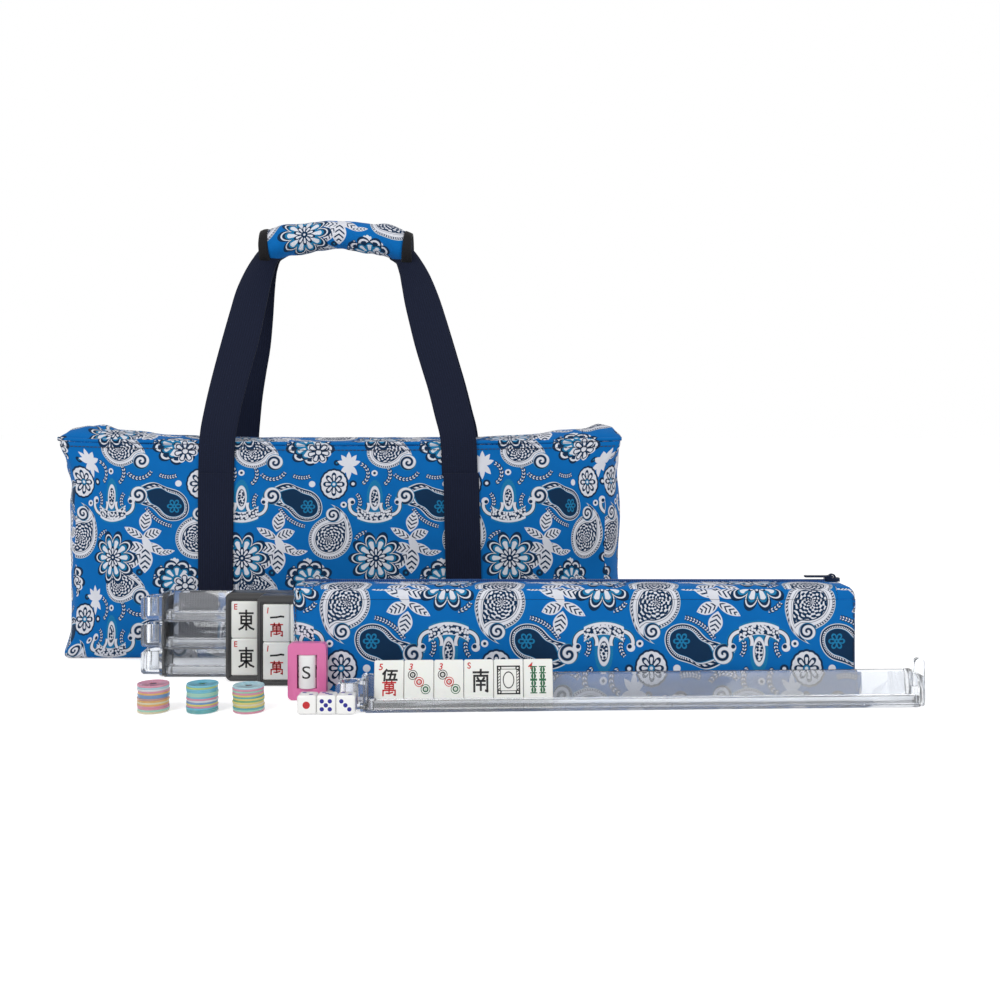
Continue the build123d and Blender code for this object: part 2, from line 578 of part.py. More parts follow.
def chips():
    """Stacks of flat chips with a hole in the middle."""
    ring = extrude(Circle(CHIP_RADIUS) - Circle(CHIP_HOLE_RADIUS), CHIP_THICKNESS)
    for number, (x, count) in enumerate(CHIP_STACKS, 1):
        stack = [Pos(x, CHIP_CENTRE_Y, i * CHIP_THICKNESS) * ring for i in range(count)]
        save(f"chip_stack_{number}", Compound(children=stack))


# ---------------------------------------------------------------- build
os.makedirs("parts", exist_ok=True)
tote_base()
tote_walls()
tote_piping()
tote_end_tabs()
tote_flaps()
tote_zip()
sewn_webbing()
handle_wrap()
handle_straps()
trays()
slim_case()
slim_zip()
racks()
wind_marker()
dice()
chips()
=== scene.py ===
# %% [markdown]
# # A printed tote case for a tile game, with its set laid out before it
#
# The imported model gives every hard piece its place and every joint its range. This
# notebook dresses it: sewn cloth in place of the plain panels, real webbing, a padded
# handle wrap, clear racks, painted tiles, dice and chips. All lengths are in metres.

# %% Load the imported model
import math
import random

import bmesh
import bpy
from mathutils import Matrix, Vector, noise


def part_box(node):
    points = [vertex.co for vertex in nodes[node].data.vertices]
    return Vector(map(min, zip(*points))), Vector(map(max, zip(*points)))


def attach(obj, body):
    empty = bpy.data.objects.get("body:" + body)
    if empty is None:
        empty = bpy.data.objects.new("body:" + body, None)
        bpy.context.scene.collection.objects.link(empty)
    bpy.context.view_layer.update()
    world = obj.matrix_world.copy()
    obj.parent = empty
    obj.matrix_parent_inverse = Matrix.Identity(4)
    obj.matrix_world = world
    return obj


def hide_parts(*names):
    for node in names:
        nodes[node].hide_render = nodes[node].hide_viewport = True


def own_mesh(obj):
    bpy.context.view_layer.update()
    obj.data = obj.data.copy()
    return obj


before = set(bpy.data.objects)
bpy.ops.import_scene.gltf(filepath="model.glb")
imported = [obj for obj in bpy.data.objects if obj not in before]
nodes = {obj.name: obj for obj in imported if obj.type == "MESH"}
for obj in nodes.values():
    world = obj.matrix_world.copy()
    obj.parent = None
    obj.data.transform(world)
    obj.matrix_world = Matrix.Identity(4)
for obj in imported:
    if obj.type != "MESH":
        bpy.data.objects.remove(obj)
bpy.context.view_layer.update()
bpy.ops.object.select_all(action="DESELECT")

# %% [markdown]
# ## Camera
# The picture was taken level with the top of the tote: its horizon runs just above the
# tote's rim. A level camera keeps the tote's sides upright, so the lens is moved down by a
# small shift instead of tilting the camera.

# %% Set up the camera
PICTURE = 1000  # pixels, width and height
FOCAL_PIXELS = 1100.0
SENSOR = 0.036
HORIZON_ROW = 431.0
camera_data = bpy.data.cameras.new("camera")
camera_data.sensor_width = SENSOR * 1000
camera_data.lens = SENSOR * 1000 * FOCAL_PIXELS / PICTURE
camera_data.shift_y = (HORIZON_ROW - PICTURE / 2) / PICTURE
camera = bpy.data.objects.new("camera", camera_data)
camera.location = (0.145, -1.041, 0.206)
camera.rotation_euler = (math.radians(90), 0, 0)
bpy.context.collection.objects.link(camera)
bpy.context.scene.camera = camera
print("lens", camera_data.lens, "mm, shift", camera_data.shift_y)

# %% [markdown]
# ## Helpers for materials
# A print is a drawing made of sums: how far a point is from a flower's middle, which way
# it lies, which ring it falls in. `Wire` wraps one output of a shader node, so that those
# sums can be written with plain signs and each one adds a Math node.


# %% A shader value that plain signs work on
class Wire:
    def __init__(self, tree, socket):
        self.tree, self.socket = tree, socket

    def does(self, operation, *others, clamp=False):
        node = self.tree.nodes.new("ShaderNodeMath")
        node.operation, node.use_clamp = operation, clamp
        for slot, value in zip(node.inputs, (self, *others)):
            feed(self.tree, slot, value)
        return Wire(self.tree, node.outputs[0])

    def __add__(self, other):
        return self.does("ADD", other)

    def __sub__(self, other):
        return self.does("SUBTRACT", other)

    def __mul__(self, other):
        return self.does("MULTIPLY", other)

    def __truediv__(self, other):
        return self.does("DIVIDE", other)

    def above(self, edge, soft):
        """1 where this value is over edge, 0 where it is under, with a soft step."""
        return self.does("MULTIPLY_ADD", 1 / soft, 0.5 - edge / soft, clamp=True)

    def below(self, edge, soft):
        return self.does("MULTIPLY_ADD", -1 / soft, 0.5 + edge / soft, clamp=True)

    def wrapped(self, period):
        """Fold the value into one period with 0 in its middle."""
        return self.does("WRAP", period / 2, -period / 2)

    def bent(self, points):
        """Read the value off a smooth curve through (in, out) points."""
        node = self.tree.nodes.new("ShaderNodeFloatCurve")
        curve = node.mapping.curves[0]
        for place, height in points[1:-1]:
            curve.points.new(place, height)
        curve.points[0].location = points[0]
        curve.points[-1].location = points[-1]
        node.mapping.update()
        feed(self.tree, node.inputs["Value"], self)
        return Wire(self.tree, node.outputs[0])

# %% Add nodes, mix colours and raise a surface
def feed(tree, slot, value):
    if isinstance(value, Wire):
        tree.links.new(value.socket, slot)
    else:
        slot.default_value = value


def add_node(tree, kind, output=0, settings=None, **inputs):
    """Add a node, set its options and inputs by name, and return one of its outputs."""
    node = tree.nodes.new(kind)
    for key, value in (settings or {}).items():
        setattr(node, key, value)
    for key, value in inputs.items():
        feed(tree, node.inputs[key.replace("_", " ")], value)
    return Wire(tree, node.outputs[output])


def mix(tree, factor, first, second):
    """Colour first where factor is 0 and second where it is 1."""
    node = tree.nodes.new("ShaderNodeMix")
    node.data_type = "RGBA"
    for slot, value in ((0, factor), (6, first), (7, second)):
        feed(tree, node.inputs[slot], value)
    return Wire(tree, node.outputs[2])


def rgb(red, green, blue):
    """A colour given as the eye sees it, 0 to 255, turned into light."""
    def linear(value):
        value /= 255
        return value / 12.92 if value < 0.04045 else ((value + 0.055) / 1.055) ** 2.4
    return linear(red), linear(green), linear(blue), 1.0


def new_material(name, **sockets):
    """A Principled material with constants set on its sockets; returns it and its tree."""
    material = bpy.data.materials.new(name)
    material.use_nodes = True
    tree = material.node_tree
    shader = tree.nodes["Principled BSDF"]
    for key, value in sockets.items():
        shader.inputs[key.replace("_", " ")].default_value = value
    return material, tree, shader


def bump(tree, shader, height, strength, distance):
    """Raise the surface by a height wire."""
    node = tree.nodes.new("ShaderNodeBump")
    node.inputs["Strength"].default_value = strength
    node.inputs["Distance"].default_value = distance
    feed(tree, node.inputs["Height"], height)
    tree.links.new(node.outputs[0], shader.inputs["Normal"])


def object_axes(tree):
    """The place on the object as three wires, in metres."""
    place = add_node(tree, "ShaderNodeTexCoord", 3)
    return split(tree, place)


def split(tree, vector):
    node = tree.nodes.new("ShaderNodeSeparateXYZ")
    feed(tree, node.inputs[0], vector)
    return [Wire(tree, output) for output in node.outputs]


print("material helpers ready")

# %% [markdown]
# ## The print
# The cloth carries an old teardrop print of a kind that has no one maker: curled
# teardrops with beaded rims, a petalled rosette, a scroll crown, a white medallion, leaf
# sprigs, rings and dots. One repeat is about 120 mm square. Every motif is drawn round its
# own middle in polar measure, folded by the repeat, so it runs over the edges unbroken.

# %% Draw each motif once
GROUND, WHITE = rgb(0, 106, 182), rgb(226, 228, 236)
NAVY, TEAL = rgb(12, 46, 76), rgb(30, 124, 172)
REPEAT_WIDE, REPEAT_HIGH = 120.4, 124.5  # millimetres, the unit inside the print
INK_EDGE = 0.3  # how soft the edge of the ink is
TURN = 2 * math.pi


class Motif:
    """A node group that paints one kind of motif over the colour it is given."""

    def __init__(self, name, colours=(), numbers=()):
        self.tree = bpy.data.node_groups.new(name, "ShaderNodeTree")
        sockets = self.tree.interface
        sockets.new_socket("Ground", in_out="INPUT", socket_type="NodeSocketColor")
        sockets.new_socket("Place", in_out="INPUT", socket_type="NodeSocketVector")
        sockets.new_socket("Flecks", in_out="INPUT", socket_type="NodeSocketFloat")
        for colour in colours:
            sockets.new_socket(colour, in_out="INPUT", socket_type="NodeSocketColor")
        for number in ("X", "Y", "Facing", *numbers):
            sockets.new_socket(number, in_out="INPUT", socket_type="NodeSocketFloat")
        sockets.new_socket("Colour", in_out="OUTPUT", socket_type="NodeSocketColor")
        self.inputs = self.tree.nodes.new("NodeGroupInput")
        self.outputs = self.tree.nodes.new("NodeGroupOutput")
        self.colour = self["Ground"]

    def __getitem__(self, name):
        return Wire(self.tree, self.inputs.outputs[name])

    def polar(self, squeeze=None):
        """Distance and angle of a point from the motif's middle, the angle from Facing."""
        across, up, _ = split(self.tree, self["Place"])
        east = (across - self["X"]).wrapped(REPEAT_WIDE)
        north = (up - self["Y"]).wrapped(REPEAT_HIGH)
        if squeeze:
            north = north * squeeze
        distance = (east * east + north * north).does("SQRT")
        angle = (north.does("ARCTAN2", east) - self["Facing"] * (TURN / 360)).wrapped(TURN)
        return distance, angle

    def paint(self, mask, colour):
        self.colour = mix(self.tree, mask, self.colour, colour)

    def done(self):
        self.tree.links.new(self.colour.socket, self.outputs.inputs[0])
        return self.tree

# %% [markdown]
# ## Motifs
# Each motif is one node group with sockets for its place, turn, size and colours, so the
# same drawing serves wherever it stands in the repeat. A mask says where the ink lies, and
# each coat of colour is laid over the one before, as in printing.

# %% Draw dots, flowers and teardrops
def inside(distance, radius, soft=INK_EDGE):
    """1 where distance is less than a radius that may itself be a wire."""
    return ((distance * -1.0 + radius) / soft + 0.5).does("ADD", 0.0, clamp=True)


def draw_ring_dot():
    motif = Motif("ring_dot", ("Outer", "Inner"), ("Radius", "Share"))
    distance, _ = motif.polar()
    motif.paint(inside(distance, motif["Radius"]), motif["Outer"])
    motif.paint(inside(distance, motif["Radius"] * motif["Share"]), motif["Inner"])
    return motif.done()


def draw_flower():
    """Rim colour outside, petals with a vein each, a round eye."""
    motif = Motif("flower", ("Rim", "Body", "Vein"), ("Radius", "Petals", "Dip", "Squeeze"))
    distance, angle = motif.polar(motif["Squeeze"])
    radius = motif["Radius"]
    wave = (angle * motif["Petals"] / 2.0).does("COSINE").does("ABSOLUTE").does("POWER", 0.7)
    reach = distance / (wave * motif["Dip"] - motif["Dip"] + 1.0)
    motif.paint(inside(reach, radius), motif["Rim"])
    motif.paint(inside(reach, radius * 0.88), motif["Body"])
    motif.paint(inside(reach, radius * 0.78) * wave.above(0.8, 0.08) * inside(radius * 0.3, distance),
                motif["Vein"])
    motif.paint(inside(distance, radius * 0.2), motif["Rim"])
    motif.paint(inside(distance, radius * 0.1), motif["Vein"])
    return motif.done()


def draw_teardrop(name, bands, roundness, beads):
    """A round body whose tail sweeps away and curls; bands are (share of size, colour)."""
    motif = Motif(name, numbers=("Reach", "Curl", "Squeeze"))
    distance, angle = motif.polar(motif["Squeeze"])
    along = distance / motif["Reach"]
    side = (angle - along * along * along * motif["Curl"]).wrapped(TURN).does("ABSOLUTE")
    outline = (side / math.pi).bent(
        ((0.0, 1.0), (0.05, 0.86), (0.12, 0.72), (0.22, 0.14 + 0.9 * roundness),
         (0.4, roundness + 0.02), (1.0, roundness)))
    level = along / outline  # 1 on the edge, smaller inside
    for share, colour in bands:
        mask = level.below(share, 0.018)
        if colour == "beads":
            rhythm = (side * (beads / TURN)).does("FRACT").above(0.5, 0.2)
            motif.paint(mask * rhythm, WHITE)
        elif colour == "flecks":
            petals = (angle * 9.0).does("COSINE") * (distance * 1.9).does("SINE")
            motif.paint(mask * (petals + motif["Flecks"] * 0.5).above(0.42, 0.3), WHITE)
        else:
            motif.paint(mask, colour)
    return motif.done()

# %% Draw volutes, sprigs and leaves
def draw_volute():
    """The small spiral that ends a tail."""
    motif = Motif("volute", numbers=("Radius", "Hand"))
    distance, angle = motif.polar()
    radius = motif["Radius"]
    spiral = (distance * 1.7 / radius + angle * motif["Hand"] / TURN).does("FRACT")
    motif.paint(inside(distance, radius), TEAL)
    motif.paint(inside(distance, radius * 0.93), NAVY)
    motif.paint(inside(distance, radius * 0.93) * spiral.above(0.36, 0.14) * spiral.below(0.88, 0.14), WHITE)
    return motif.done()


def draw_sprig():
    """A chain of small leaves along an arc, Half degrees to either side of Facing."""
    motif = Motif("sprig", numbers=("Radius", "Half", "Leaves", "Width"))
    distance, angle = motif.polar()
    off = (distance - motif["Radius"]).does("ABSOLUTE")
    half, width = motif["Half"] * (TURN / 360), motif["Width"]
    span = inside(angle.does("ABSOLUTE"), half, 0.02)
    beat = (angle * motif["Leaves"] / half / 2.0 - off * 0.55 / width).does("FRACT")
    motif.paint(span * inside(off, width) * beat.above(0.2, 0.16), NAVY)
    motif.paint(span * inside(off, width * 0.66) * beat.above(0.56, 0.16) * off.above(0.3, INK_EDGE), WHITE)
    return motif.done()


def draw_leaf():
    """One pointed petal or wing with a fine filigree in it."""
    motif = Motif("leaf", ("Rim", "Body"), ("Length", "Width", "Filled"))
    distance, angle = motif.polar()
    edge = distance * angle.does("COSINE") / motif["Length"]
    side = (distance * angle.does("SINE")).does("ABSOLUTE") / motif["Width"]
    level = edge * edge + side
    motif.paint(level.below(1.0, 0.07), motif["Rim"])
    veins = (edge * 16.0 - side * 7.0).does("SINE").above(0.35, 0.3)
    motif.paint(level.below(0.78, 0.07) * veins * motif["Filled"], motif["Body"])
    return motif.done()

# %% Draw the scroll crown
def draw_crown():
    """The scroll crown: a column on a crescent with an arm curling up at each side."""
    motif = Motif("scroll_crown")
    across, up, _ = split(motif.tree, motif["Place"])
    side = (across - motif["X"]).wrapped(REPEAT_WIDE).does("ABSOLUTE")
    rise = (up - motif["Y"]).wrapped(REPEAT_HIGH)

    def from_point(x, y, stretch=1.0):
        east, north = side - x, (rise - y) * stretch
        return (east * east + north * north).does("SQRT")

    def band(distance, radius, width, colour, mask):
        motif.paint((distance - radius).does("ABSOLUTE").below(width, INK_EDGE) * mask, colour)

    lace = (side * 2.2).does("SINE") * (rise * 1.9).does("COSINE")
    arm, arm_open = from_point(14.0, 0.5), rise.below(3.0, INK_EDGE)
    smile, ends = from_point(0.0, 18.0), side.below(15.5, INK_EDGE) * rise.below(0.0, INK_EDGE)
    column = from_point(0.0, 7.5, 0.42)
    motif.paint(column.below(7.2, 0.5) * lace.above(-0.75, 0.3), TEAL)
    band(smile, 28.5, 6.2, TEAL, ends * lace.above(-0.6, 0.3))
    band(arm, 8.6, 2.6, TEAL, arm_open)
    band(arm, 8.6, 2.0, NAVY, arm_open)
    band(arm, 8.6, 1.3, WHITE, arm_open)
    band(smile, 28.5, 4.8, WHITE, ends)
    band(smile, 27.8, 3.6, NAVY, ends * motif["Flecks"])
    motif.paint(column.below(4.8, INK_EDGE), WHITE)
    motif.paint(column.below(3.4, INK_EDGE), NAVY)
    motif.paint(column.below(3.0, INK_EDGE) * motif["Flecks"], WHITE)
    motif.paint(from_point(21.0, 4.4).below(3.3, INK_EDGE), WHITE)
    motif.paint(from_point(20.0, 3.6).below(1.7, INK_EDGE), NAVY)
    return motif.done()

# %% Make each motif's group
RING_DOT, FLOWER, VOLUTE = draw_ring_dot(), draw_flower(), draw_volute()
SPRIG, LEAF = draw_sprig(), draw_leaf()
CROWN = draw_crown()
PALE_DROP = draw_teardrop("pale_teardrop", (
    (1.0, TEAL), (0.975, WHITE), (0.95, NAVY), (0.935, "beads"), (0.865, NAVY), (0.85, WHITE), (0.73, NAVY),
    (0.715, WHITE), (0.66, NAVY), (0.62, "flecks")), 0.58, 50)
DARK_DROP = draw_teardrop("dark_teardrop", (
    (1.0, TEAL), (0.97, WHITE), (0.93, NAVY), (0.84, "beads"), (0.76, NAVY), (0.74, WHITE), (0.7, TEAL),
    (0.67, NAVY)), 0.34, 52)
print("motifs drawn:", len(bpy.data.node_groups))

# %% Lay the motifs out in one repeat
print_group = bpy.data.node_groups.new("teardrop_print", "ShaderNodeTree")
print_group.interface.new_socket("Place", in_out="INPUT", socket_type="NodeSocketVector")
print_group.interface.new_socket("Color", in_out="OUTPUT", socket_type="NodeSocketColor")
group_in = print_group.nodes.new("NodeGroupInput")
cloth_place = Wire(print_group, group_in.outputs[0])
millimetres = add_node(print_group, "ShaderNodeMapping", Vector=cloth_place, Scale=(1000, 1000, 1000))
flecks = add_node(print_group, "ShaderNodeTexVoronoi", 0, {"voronoi_dimensions": "2D"},
                  Vector=cloth_place, Scale=430.0)
fleck_mask = flecks.above(0.46, 0.12)


class Cloth:
    """The painted colour so far."""
    colour = add_node(print_group, "ShaderNodeRGB")
    colour.socket.default_value = GROUND

    @classmethod
    def add(cls, motif, x, y, facing=0.0, **values):
        node = print_group.nodes.new("ShaderNodeGroup")
        node.node_tree = motif
        for slot, value in (("Ground", cls.colour), ("Place", millimetres), ("Flecks", fleck_mask)):
            print_group.links.new(value.socket, node.inputs[slot])
        for slot, value in dict(X=x, Y=y, Facing=facing, **values).items():
            if slot in node.inputs:
                node.inputs[slot].default_value = value
        cls.colour = Wire(print_group, node.outputs[0])


def flower(x, y, radius, petals, dip, rim, body, vein, facing=0.0, squeeze=1.0):
    Cloth.add(FLOWER, x, y, facing, Radius=radius, Petals=petals, Dip=dip, Squeeze=squeeze,
              Rim=rim, Body=body, Vein=vein)


def leaf(x, y, facing, length, width, rim=WHITE, body=None):
    Cloth.add(LEAF, x, y, facing, Length=length, Width=width, Rim=rim, Body=body or rim,
              Filled=1.0 if body else 0.0)

# %% Scatter the small filling
# Small filling first, so that the large motifs lie over it
for x, y, radius, outer, inner, share in (
        (94.2, -70.1, 2.8, WHITE, NAVY, 0.45), (73.9, -128.3, 2.9, WHITE, NAVY, 0.45),
        (121.8, -40.5, 2.8, WHITE, NAVY, 0.45), (65.4, -50.9, 2.9, WHITE, WHITE, 0.1),
        (75.0, -86.0, 2.9, NAVY, TEAL, 0.3),
        (29.8, -132.7, 3.2, NAVY, TEAL, 0.3), (87.6, -30.7, 2.8, NAVY, TEAL, 0.3)):
    Cloth.add(RING_DOT, x, y, Radius=radius, Share=share, Outer=outer, Inner=inner)
for x, y, radius, facing, half, leaves in (
        (4.0, -41.5, 11.5, -3, 55, 7), (29.5, -33.5, 13.0, -85, 55, 8), (56.5, -27.0, 18.0, -92, 26, 7),
        (105.5, -41.5, 10.5, 5, 65, 7), (66.0, -57.0, 34.0, -126, 24, 12), (24.0, -68.0, 11.0, 181, 41, 6),
        (98.0, -68.0, 11.0, 3, 41, 6), (116.0, -108.0, 12.5, 123, 27, 4), (57.0, -139.0, 13.0, 154, 36, 7)):
    Cloth.add(SPRIG, x, y, facing, Radius=radius, Half=half, Leaves=leaves, Width=2.2)
flower(61.6, -124.3, 5.6, 8, 0.25, TEAL, WHITE, WHITE)

# %% Place the bud, the lotus and the teardrops
# A pale bud on a stem, and the lotus that its neighbours half hide
for facing, length in ((90, 8.0), (55, 7.0), (125, 7.0), (20, 6.0), (160, 6.0), (-90, 9.0), (-50, 7.0),
                       (-130, 7.0)):
    leaf(98.5 + 5 * math.cos(math.radians(facing)), -33.0 + 5 * math.sin(math.radians(facing)), facing,
         length, 2.5)
Cloth.add(RING_DOT, 102.5, -50.6, Radius=3.4, Share=0.45, Outer=NAVY, Inner=WHITE)
flower(63.5, -15.0, 22.5, 9, 0.24, NAVY, WHITE, NAVY, facing=-90, squeeze=1.2)
flower(63.5, -15.0, 16.5, 9, 0.3, NAVY, TEAL, WHITE, facing=-70, squeeze=1.2)
flower(71.0, -20.5, 11.5, 7, 0.4, WHITE, NAVY, WHITE, facing=-60)

# The teardrops, each ended by its volute
Cloth.add(PALE_DROP, 81.0, -102.0, 36, Reach=33.0, Curl=0.95, Squeeze=1.0)
Cloth.add(VOLUTE, 84.4, -79.5, 40, Radius=6.8, Hand=1)
Cloth.add(PALE_DROP, 10.5, -145.0, 14, Reach=28.5, Curl=-0.75, Squeeze=1.05)
Cloth.add(VOLUTE, 31.5, -155.0, 120, Radius=7.8, Hand=-1)
Cloth.add(DARK_DROP, 61.3, -72.3, 146, Reach=43.0, Curl=0.42, Squeeze=1.0)
Cloth.add(VOLUTE, 29.3, -62.0, 0, Radius=8.4, Hand=1)
flower(61.8, -72.0, 6.6, 6, 0.45, TEAL, TEAL, NAVY)

# %% Place the medallion, the crown, the winged flower and the rosette
# The white medallion, the crown, the winged flower and the rosette before it
flower(85.2, -51.0, 13.2, 16, 0.04, NAVY, WHITE, WHITE, squeeze=0.88)
flower(85.2, -51.0, 9.8, 8, 0.5, NAVY, NAVY, WHITE, squeeze=0.88)
Cloth.add(RING_DOT, 85.2, -51.0, Radius=2.6, Share=0.5, Outer=TEAL, Inner=WHITE)
Cloth.add(CROWN, 122.1, -71.5)
for x, y, facing, length, width in (
        (35.5, -86.0, 78, 9.5, 5.6), (41.5, -97.5, 18, 9.0, 5.0), (25.5, -97.0, 150, 11.0, 3.8),
        (26.5, -110.0, 172, 10.0, 5.2), (35.0, -121.0, -92, 12.5, 6.8), (26.0, -122.0, -125, 10.0, 4.4),
        (44.5, -111.0, -28, 11.5, 4.2), (53.5, -114.5, 10, 8.5, 2.6)):
    leaf(x, y, facing, length, width, WHITE, NAVY)
leaf(37.0, -107.0, -60, 9.0, 3.6, WHITE)
flower(123.3, -119.4, 25.0, 10, 0.36, NAVY, WHITE, NAVY)
flower(123.3, -119.4, 20.6, 10, 0.42, NAVY, TEAL, WHITE)
flower(123.3, -119.4, 10.5, 10, 0.5, NAVY, NAVY, WHITE, facing=18)

group_out = print_group.nodes.new("NodeGroupOutput")
print_group.links.new(Cloth.colour.socket, group_out.inputs[0])
print("print nodes:", len(print_group.nodes))

# %% [markdown]
# ## Printed cloth
# The print sits on a plain-woven cotton, quilted to a thin lining. The weave is too fine
# to model, so it is a pair of crossed waves in the bump, with a faint change of tone from
# thread to thread. The pattern follows the piece's own cloth map, laid out as it was cut.

# %% Make the printed cloth
THREAD = 0.00042


def printed_cloth(name, turned=False, shift=(0.0, 0.0)):
    """The printed cotton; turned lays the print upside down, shift slides it (metres)."""
    material, tree, shader = new_material(name, Roughness=0.8, Sheen_Weight=0.04, Sheen_Roughness=0.5,
                                          Specular_IOR_Level=0.12)
    cloth_map = add_node(tree, "ShaderNodeUVMap", settings={"uv_map": "cloth"})
    placed = add_node(tree, "ShaderNodeMapping", Vector=cloth_map,
                      Rotation=(0, 0, math.pi if turned else 0), Location=(*shift, 0))
    pattern = tree.nodes.new("ShaderNodeGroup")
    pattern.node_tree = print_group
    tree.links.new(placed.socket, pattern.inputs[0])
    u, v, _ = split(tree, placed)
    warp = (u * (TURN / THREAD)).does("SINE")
    weft = (v * (TURN / THREAD)).does("SINE")
    weave = warp * weft
    blotch = add_node(tree, "ShaderNodeTexNoise", Vector=placed, Scale=70.0, Detail=4.0)
    shade = blotch.above(0.55, 0.5) * 0.1 + (weave + 1.0) * 0.03
    colour = mix(tree, shade, Wire(tree, pattern.outputs[0]), rgb(4, 44, 96))
    tree.links.new(colour.socket, shader.inputs["Base Color"])
    bump(tree, shader, weave * 0.5 + blotch * 1.5, 0.35, 0.0003)
    return material


tote_cloth = printed_cloth("tote_cloth", shift=(0.0899, -0.2114))
print("printed cloth ready")

# %% [markdown]
# ## Helpers for shaping
# Cloth pieces start as a box cut into a grid along each direction, so that every panel has
# an even mesh to bend. The cloth map is laid on straight after, while the panels are still
# flat, because that is how the print meets the cloth before it is sewn.


# %% Start a box, cut it into a grid and map its panels
def activate(piece):
    bpy.ops.object.select_all(action="DESELECT")
    piece.select_set(True)
    bpy.context.view_layer.objects.active = piece


def add_box(name, low, high):
    """A box between two corners, its place already in its mesh."""
    middle = [(a + b) / 2 for a, b in zip(low, high)]
    bpy.ops.object.select_all(action="DESELECT")
    bpy.ops.mesh.primitive_cube_add(size=1, location=middle)
    box = bpy.context.object
    box.scale = [b - a for a, b in zip(low, high)]
    bpy.ops.object.transform_apply(location=True, rotation=True, scale=True)
    box.name = name
    return box


def cut_along(piece, axis, cuts):
    """Cut every edge that runs along an axis into cuts + 1 equal parts."""
    activate(piece)
    bpy.ops.object.mode_set(mode="EDIT")
    bpy.ops.mesh.select_mode(type="EDGE")
    bpy.ops.mesh.select_all(action="DESELECT")
    mesh = bmesh.from_edit_mesh(piece.data)
    for edge in mesh.edges:
        run = edge.verts[1].co - edge.verts[0].co
        edge.select = abs(run[axis]) > 0.9 * run.length
    bmesh.update_edit_mesh(piece.data)
    bpy.ops.mesh.subdivide(number_cuts=cuts)
    bpy.ops.object.mode_set(mode="OBJECT")


def remove_faces(piece, chosen):
    """Delete the faces whose middle and normal the test picks."""
    activate(piece)
    bpy.ops.object.mode_set(mode="EDIT")
    bpy.ops.mesh.select_mode(type="FACE")
    bpy.ops.mesh.select_all(action="DESELECT")
    mesh = bmesh.from_edit_mesh(piece.data)
    for face in mesh.faces:
        face.select = chosen(face.calc_center_median(), face.normal)
    bmesh.update_edit_mesh(piece.data)
    bpy.ops.mesh.delete(type="FACE")
    bpy.ops.object.mode_set(mode="OBJECT")

# %% Map panels, move points and finish a piece
def lay_cloth_map(piece, gusset_shift=0.031):
    """Map each flat panel in metres: fronts by (x, z), ends by (y, z), tops by (x, y)."""
    mesh = piece.data
    cloth_map = mesh.uv_layers.get("cloth") or mesh.uv_layers.new(name="cloth")
    mesh.uv_layers.active = cloth_map
    for face in mesh.polygons:
        turn = max(range(3), key=lambda i: abs(face.normal[i]))
        for corner in face.loop_indices:
            x, y, z = mesh.vertices[mesh.loops[corner].vertex_index].co
            hand = 1 if face.normal[turn] > 0 else -1
            place = ((hand * y + gusset_shift, z), (-hand * x, z), (x, hand * y))[turn]
            cloth_map.data[corner].uv = place


def reshape(piece, move):
    """Move every point of a piece; move takes and returns a place."""
    for point in piece.data.vertices:
        point.co = move(*point.co)
    piece.data.update()


def apply_modifier(piece, kind, **settings):
    modifier = piece.modifiers.new(kind.lower(), kind)
    for key, value in settings.items():
        setattr(modifier, key, value)
    activate(piece)
    bpy.ops.object.modifier_apply(modifier=modifier.name)


def thicken_cloth(piece, thickness, rounds=1):
    """Give a cloth sheet its thickness inwards and smooth it."""
    apply_modifier(piece, "SOLIDIFY", thickness=thickness, offset=-1, use_even_offset=True)
    if rounds:
        apply_modifier(piece, "SUBSURF", levels=rounds, render_levels=rounds)
    activate(piece)
    bpy.ops.object.shade_smooth()


def dress(piece, material, slot, *replaced):
    """Give a piece its finish and hide the CAD nodes that it stands for; the slot argument is not used."""
    piece.data.materials.clear()
    piece.data.materials.append(material)
    if replaced:
        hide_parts(*replaced)


def ramp(value, start, end):
    """0 before start, 1 after end, eased between."""
    t = min(1.0, max(0.0, (value - start) / (end - start)))
    return t * t * (3 - 2 * t)


def wrinkle(x, y, z, size, seed=0.0):
    """Smooth noise between -1 and 1 whose bumps are about size apart."""
    return noise.noise(Vector((x / size + seed, y / size, z / size)))


print("shaping helpers ready")

# %% [markdown]
# ## Tote shell
# The tote is one lofted shell: front, back, two gussets and the base, sewn at their edges.
# Empty and zipped, it stands on its stiff base but sags. Its corner seams are drawn in
# below the rim while the gussets belly out past them, the rim dips between the corners,
# and the cloth ripples. One grid is shaped by a few rules that say just that.

# %% Shape the tote shell
front_low, front_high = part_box("front_panel")
back_low, back_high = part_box("back_panel")
HALF_LONG = front_high.x
HALF_DEEP = -front_low.y
RIM = front_high.z
SEAM_PULL = 0.013  # how far the corner seams are drawn in below the rim
GUSSET_BELLY = 0.011
RIM_DIP = 0.0045
BASE_CORNER = 0.012
LEFT_WAVES = ((0.205, 0.0), (0.190, -0.002), (0.172, -0.0005), (0.158, 0.006), (0.141, 0.0035),
              (0.124, 0.0055), (0.100, 0.004), (0.075, 0.0055), (0.050, 0.0065), (0.028, 0.005),
              (0.012, 0.002), (0.0, 0.004))
RIGHT_WAVES = ((0.205, 0.0), (0.193, 0.001), (0.180, 0.0035), (0.168, 0.0055), (0.152, 0.003),
               (0.120, 0.003), (0.090, 0.004), (0.055, 0.005), (0.020, 0.004), (0.0, 0.006))


def read_waves(waves, z):
    """How far an edge of the tote stands in from the straight at a height."""
    for (z1, d1), (z0, d0) in zip(waves, waves[1:]):
        if z >= z0:
            return d0 + (d1 - d0) * ramp(z, z0, z1)
    return waves[-1][1]


def rim_drop(x):
    """The rim is high at the corners and dips between them."""
    return RIM_DIP * (1 - (x / HALF_LONG) ** 2) ** 0.8


